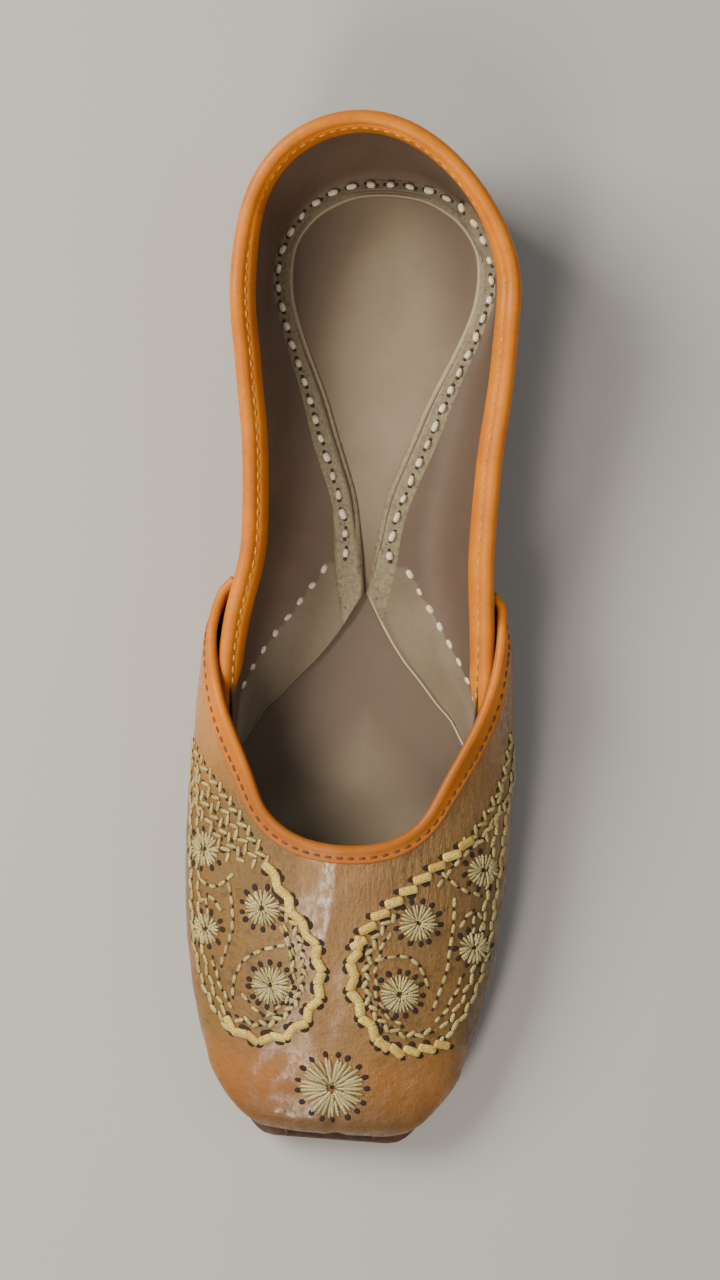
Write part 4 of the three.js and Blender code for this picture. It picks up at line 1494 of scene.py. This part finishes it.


# The vamp's embroidery is charted in millimetres of the shoe's plan.
chart = {
    "braidLeft": [
        *((-17.4, -57.7), (-13.8, -63), (-10.3, -68.6), (-6.6, -73.5), (-4.4, -78.2)),
        *((-3.7, -83), (-3.7, -88), (-5.4, -92), (-8.3, -96.8), (-12.5, -99.5)),
        *((-17.5, -101), (-22.3, -100.4), (-26, -98)),
    ],
    "braidRight": [
        *((30.2, -48.4), (26.5, -52), (22.6, -55.2), (19, -58.7), (15.1, -62.4), (11.4, -66)),
        *((8, -70), (5.6, -74.5), (4.6, -79), (4.4, -84), (5.4, -88.5), (7.2, -92.2)),
        *((9.8, -96.4), (12.6, -99.8), (16, -101.4), (20, -101.2), (24, -100.4), (27.2, -99.4)),
    ],
    "hatchLeft": [
        *((-17.4, -57.7), (-20.2, -53), (-23.5, -48.8), (-27.3, -43.5)),
        *((-31.2, -39), (-35.3, -34.5), (-39.4, -29)),
    ],
    "hatchRight": [(30.2, -48.4), (33.2, -44), (36, -38.5), (38.2, -32), (39.4, -22)],
    "outerChain": [
        *((27, -98.6), (31, -93.4), (34.1, -87), (36.3, -79), (37.4, -71)),
        *((38, -63), (38.7, -55.5), (39.1, -47), (39.8, -38), (40.1, -29)),
    ],
    "innerChain": [
        *((13.5, -67.5), (10.2, -72), (8.4, -77.5), (7.8, -83), (8.6, -88.5)),
        *((11, -93), (14.5, -96), (19, -97.2), (23.5, -96.4)),
    ],
    "arcs": [
        [(-13.5, -76.6), (-18.3, -78.2), (-22.6, -81), (-25, -85.4), (-25.5, -89.5)],
        [(-27.4, -63.3), (-26.4, -68.5), (-26.4, -74), (-28.6, -82)],
        [(-27.4, -60.6), (-31, -63.4), (-34.6, -62.6)],
        [(-13.5, -72.5), (-11.5, -77), (-10.6, -82)],
        [(-22.4, -90.5), (-19.5, -93.4), (-15.5, -94)],
        [(-30, -68.5), (-32, -66.5), (-34.8, -67.4)],
        [(10.9, -78.2), (16.4, -77.2), (20.3, -79.2), (22.6, -83.5)],
        [(28.2, -63.2), (28.4, -68.4), (27.8, -75), (27.4, -80.4), (25, -89)],
        [(25.5, -56.5), (29.5, -59.6), (33.5, -61)],
        [(24.6, -58.5), (27.4, -54.5), (30.6, -50.6), (33.6, -47.2), (36, -43)],
        [(30.5, -68.5), (32, -66), (34.6, -66.4), (35.6, -69)],
    ],
    "rosettes": [
        # x, y, petal reach, petals, hole ring
        (0.5, -112, 8.0, 17, 8.7),
        (-15.8, -86.8, 4.9, 15, 5.7),
        (16.2, -86.8, 4.9, 15, 5.7),
        (-18.7, -67.6, 4.6, 13, 5.4),
        (19.8, -68.6, 4.6, 13, 5.4),
        (-33.4, -74.5, 3.9, 10, 4.5),
        (33.6, -74.5, 3.9, 10, 4.5),
        (-34.6, -54.5, 4.3, 11, 5.0),
        (34.8, -55, 4.0, 11, 4.7),
    ],
}
gold, pale, petalsMade, holes = [], [], [], []


# Needle holes, painted as dark marks for the shade inside them, at a place on the leather or under a plan
# place.
def markHole(location, along, normal, length, width):
    holes.append((location + normal * 0.02, along, normal, (length, width, 0.28)))


def addHole(x, y, along, length, width):
    location, normal = dropOn(vampTree, x, y)
    markHole(location, flatTo(along, normal), normal, length, width)


# Thick slanted braid stitches; their way alternates when the braid is plaited.
def braidRun(path, pitch, length, width, tilt, plaited):
    for k, (location, along, normal) in enumerate(walk(vampTree, smoothPath(path, 120), pitch)):
        across = normal.cross(along)
        turn = -tilt if plaited and k % 2 else tilt
        way = slant(along, normal, turn + rng.uniform(-4, 4))
        size = (length * rng.uniform(0.92, 1.05), width * rng.uniform(0.9, 1.06), 0.75)
        gold.append((location + normal * 0.2, way, normal, size))
        for side in (-1, 1):
            shift = 0.5 if (side > 0) == (turn > 0) else 0.05
            place, up = dropOn(vampTree, *(location + across * side * 1.6 + along * pitch * shift)[:2])
            markHole(place, slant(flatTo(along, up), up, turn * 1.2), up, 2.3, 1.7)


# Small stitches on alternate sides of a line, each with its needle hole on the other side.
def chainRun(path, pitch, length, width, tilt, spread):
    for k, (location, along, normal) in enumerate(walk(vampTree, smoothPath(path, 120), pitch)):
        side = -1 if k % 2 else 1
        across = normal.cross(along) * side
        way = slant(along, normal, tilt * side + rng.uniform(-6, 6))
        size = (length * rng.uniform(0.9, 1.08), width, 0.65)
        pale.append((location + across * spread + normal * 0.18, way, normal, size))
        addHole(*(location - across * spread + along * pitch * 0.5)[:2], along, 1.3, 0.95)


# A row beside a path of the chart, as forty points.
def offsetPlan(path, distance):
    return outsetPath(smoothPath(path, 40), distance)


braids = [
    # path, its first point and end, then pitch, length, width, tilt and whether it is plaited
    ("braidLeft", 0, 13, 3.4, 4.4, 2.5, 23, True),
    ("braidRight", 0, 8, 4.4, 5.0, 2.4, -27, False),
    ("braidRight", 7, 14, 3.5, 4.5, 2.5, 23, True),
    ("braidRight", 13, 18, 3.7, 4.9, 2.2, -32, False),
]
chains = [
    # path, distance to its side, first and end of the forty points there, then pitch, length, width, tilt
    # and spread
    ("outerChain", 0, 0, 40, 2.7, 3.1, 1.25, 14, 0.3),
    ("outerChain", 2.2, 2, 37, 2.7, 2.9, 1.1, -14, 0.3),
    ("innerChain", 0, 0, 40, 2.1, 2.7, 1.15, 34, 0.35),
    ("innerChain", 2.3, 4, 32, 3.1, 2.1, 0.9, 10, 0.2),
    ("outerChain", 4.4, 2, 10, 3.1, 2.1, 0.9, 12, 0.2),
    ("outerChain", 4.4, 15, 19, 3.1, 2.1, 0.9, 12, 0.2),
]
petalKinds = [
    # start and end as shares of the reach, lift, and width as a share of a petal's arc
    (0.14, 1.0, 0.25, 0.36),
    (0.4, 0.96, 0.15, 0.3),
]
for name, first, end, *style in braids:
    braidRun(chart[name][first:end], *style)
for side in (-1, 1):
    for name, away, first, end, *style in chains:
        path = [(side * x, y) for x, y in chart[name]]
        chainRun(offsetPlan(path, side * away)[first:end] if away else path, *style)
# The hatched corners: rows that lean to alternate sides, each shorter than the one before.
for path, ways in ((chart["hatchLeft"], (0, 2.7, 5.3, 7.8)), (chart["hatchRight"], (0, -2.6))):
    for k, distance in enumerate(ways):
        row = offsetPlan(path, distance)
        chainRun(row[3 * k : len(row) - 4 * k], 2.1, 3.1, 1.05, -46 if k % 2 else 46, 0.4)
for path in chart["arcs"]:
    for location, along, normal in walk(vampTree, smoothPath(path, 60), 3.3):
        pale.append((location + normal * 0.15, along, normal, (2.4, 1.05, 0.65)))
        spot, up = dropOn(vampTree, *(location + along * 1.65)[:2])
        markHole(spot, along, up, 1.0, 0.8)
for x, y, reach, petals, ring in chart["rosettes"]:
    addHole(x, y, Vector((1, 0, 0)), 1.2, 1.2)
    for k in range(petals * 2):
        turn = math.tau * (k + rng.uniform(-0.3, 0.3)) / (petals * 2)
        way = Vector((math.cos(turn), math.sin(turn)))
        spoke = Vector((way.x, way.y, 0))
        start, end, lift, wide = petalKinds[k % 2]
        middle = way * reach * (start + end) / 2
        location, normal = dropOn(vampTree, x + middle.x, y + middle.y)
        length = reach * (end - start) * rng.uniform(0.86, 1.06)
        size = (length * 1.16, reach * wide * math.tau / petals, 1.0)
        petalsMade.append((location + normal * lift, flatTo(spoke, normal), normal, size))
        if k % 2 == 0:
            addHole(x + way.x * ring, y + way.y * ring, spoke, 1.9, 1.5)
addStitches("goldBraid", gold, thread["goldThread"])
addStitches("paleStitches", pale, thread["paleThread"])
addStitches("rosettePetals", petalsMade, thread["rosetteThread"])
addStitches("needleHoles", holes, needleHoleShade)
print("embroidery made", len(gold), len(pale), len(holes))


floorPlane = {"half": 2, "colour": rgb(172, 168, 162)}
half = floorPlane["half"]
floorMesh = bpy.data.meshes.new("floor")
corners = [(-half, -half, 0), (half, -half, 0), (half, half, 0), (-half, half, 0)]
floorMesh.from_pydata(corners, [], [(0, 1, 2, 3)])
paper = material("floorPaper", lambda wire, where, place: (floorPlane["colour"], 0.9, None))
floorMesh.materials.append(paper)
floor = bpy.data.objects.new("floor", floorMesh)
bpy.context.scene.collection.objects.link(floor)

sky = {"colour": (0.86, 0.88, 0.92, 1), "strength": 0.25}
world = bpy.data.worlds.new("studio")
world.use_nodes = True
background = world.node_tree.nodes["Background"]
background.inputs["Color"].default_value = sky["colour"]
background.inputs["Strength"].default_value = sky["strength"]
bpy.context.scene.world = world

lights = {
    "key": {"place": (-0.5, 0.24, 0.58), "size": (0.4, 0.4), "power": 9.4, "colour": (1, 0.96, 0.89)},
    "toeSide": {"place": (-0.17, -0.4, 0.66), "size": (0.15, 0.34), "power": 3.2, "colour": (1, 0.94, 0.84)},
    "toeLow": {"place": (-0.2, -0.56, 0.4), "size": (0.13, 0.16), "power": 0.75, "colour": (1, 0.94, 0.84)},
    "fill": {"place": (0.55, 0.1, 0.6), "size": (0.5, 0.5), "power": 1.1, "colour": (0.96, 0.98, 1)},
}
for name, kind in lights.items():
    lamp = bpy.data.lights.new(name, "AREA")
    lamp.shape = "RECTANGLE"
    lamp.size, lamp.size_y = kind["size"]
    lamp.energy = kind["power"]
    lamp.color = kind["colour"]
    holder = bpy.data.objects.new(name, lamp)
    holder.location = kind["place"]
    holder.rotation_euler = (Vector((0, 0, 0.02)) - Vector(kind["place"])).to_track_quat("-Z", "Y").to_euler()
    bpy.context.scene.collection.objects.link(holder)

view = {"eye": (0.0469, -0.0091, 0.72), "aim": (0.0, 0.0, 0.018), "up": (-0.0644, 0.998, 0.0), "tall": 25.8}
cameraData = bpy.data.cameras.new("camera")
cameraData.lens = cameraData.sensor_width / 2 / math.tan(math.radians(view["tall"] / 2))
cameraData.clip_start = 0.01
camera = bpy.data.objects.new("camera", cameraData)
back = (Vector(view["eye"]) - Vector(view["aim"])).normalized()
right = Vector(view["up"]).cross(back).normalized()
turn = Matrix((right, back.cross(right), back)).transposed()
camera.matrix_world = Matrix.Translation(Vector(view["eye"])) @ turn.to_4x4()
bpy.context.scene.collection.objects.link(camera)
bpy.context.scene.camera = camera
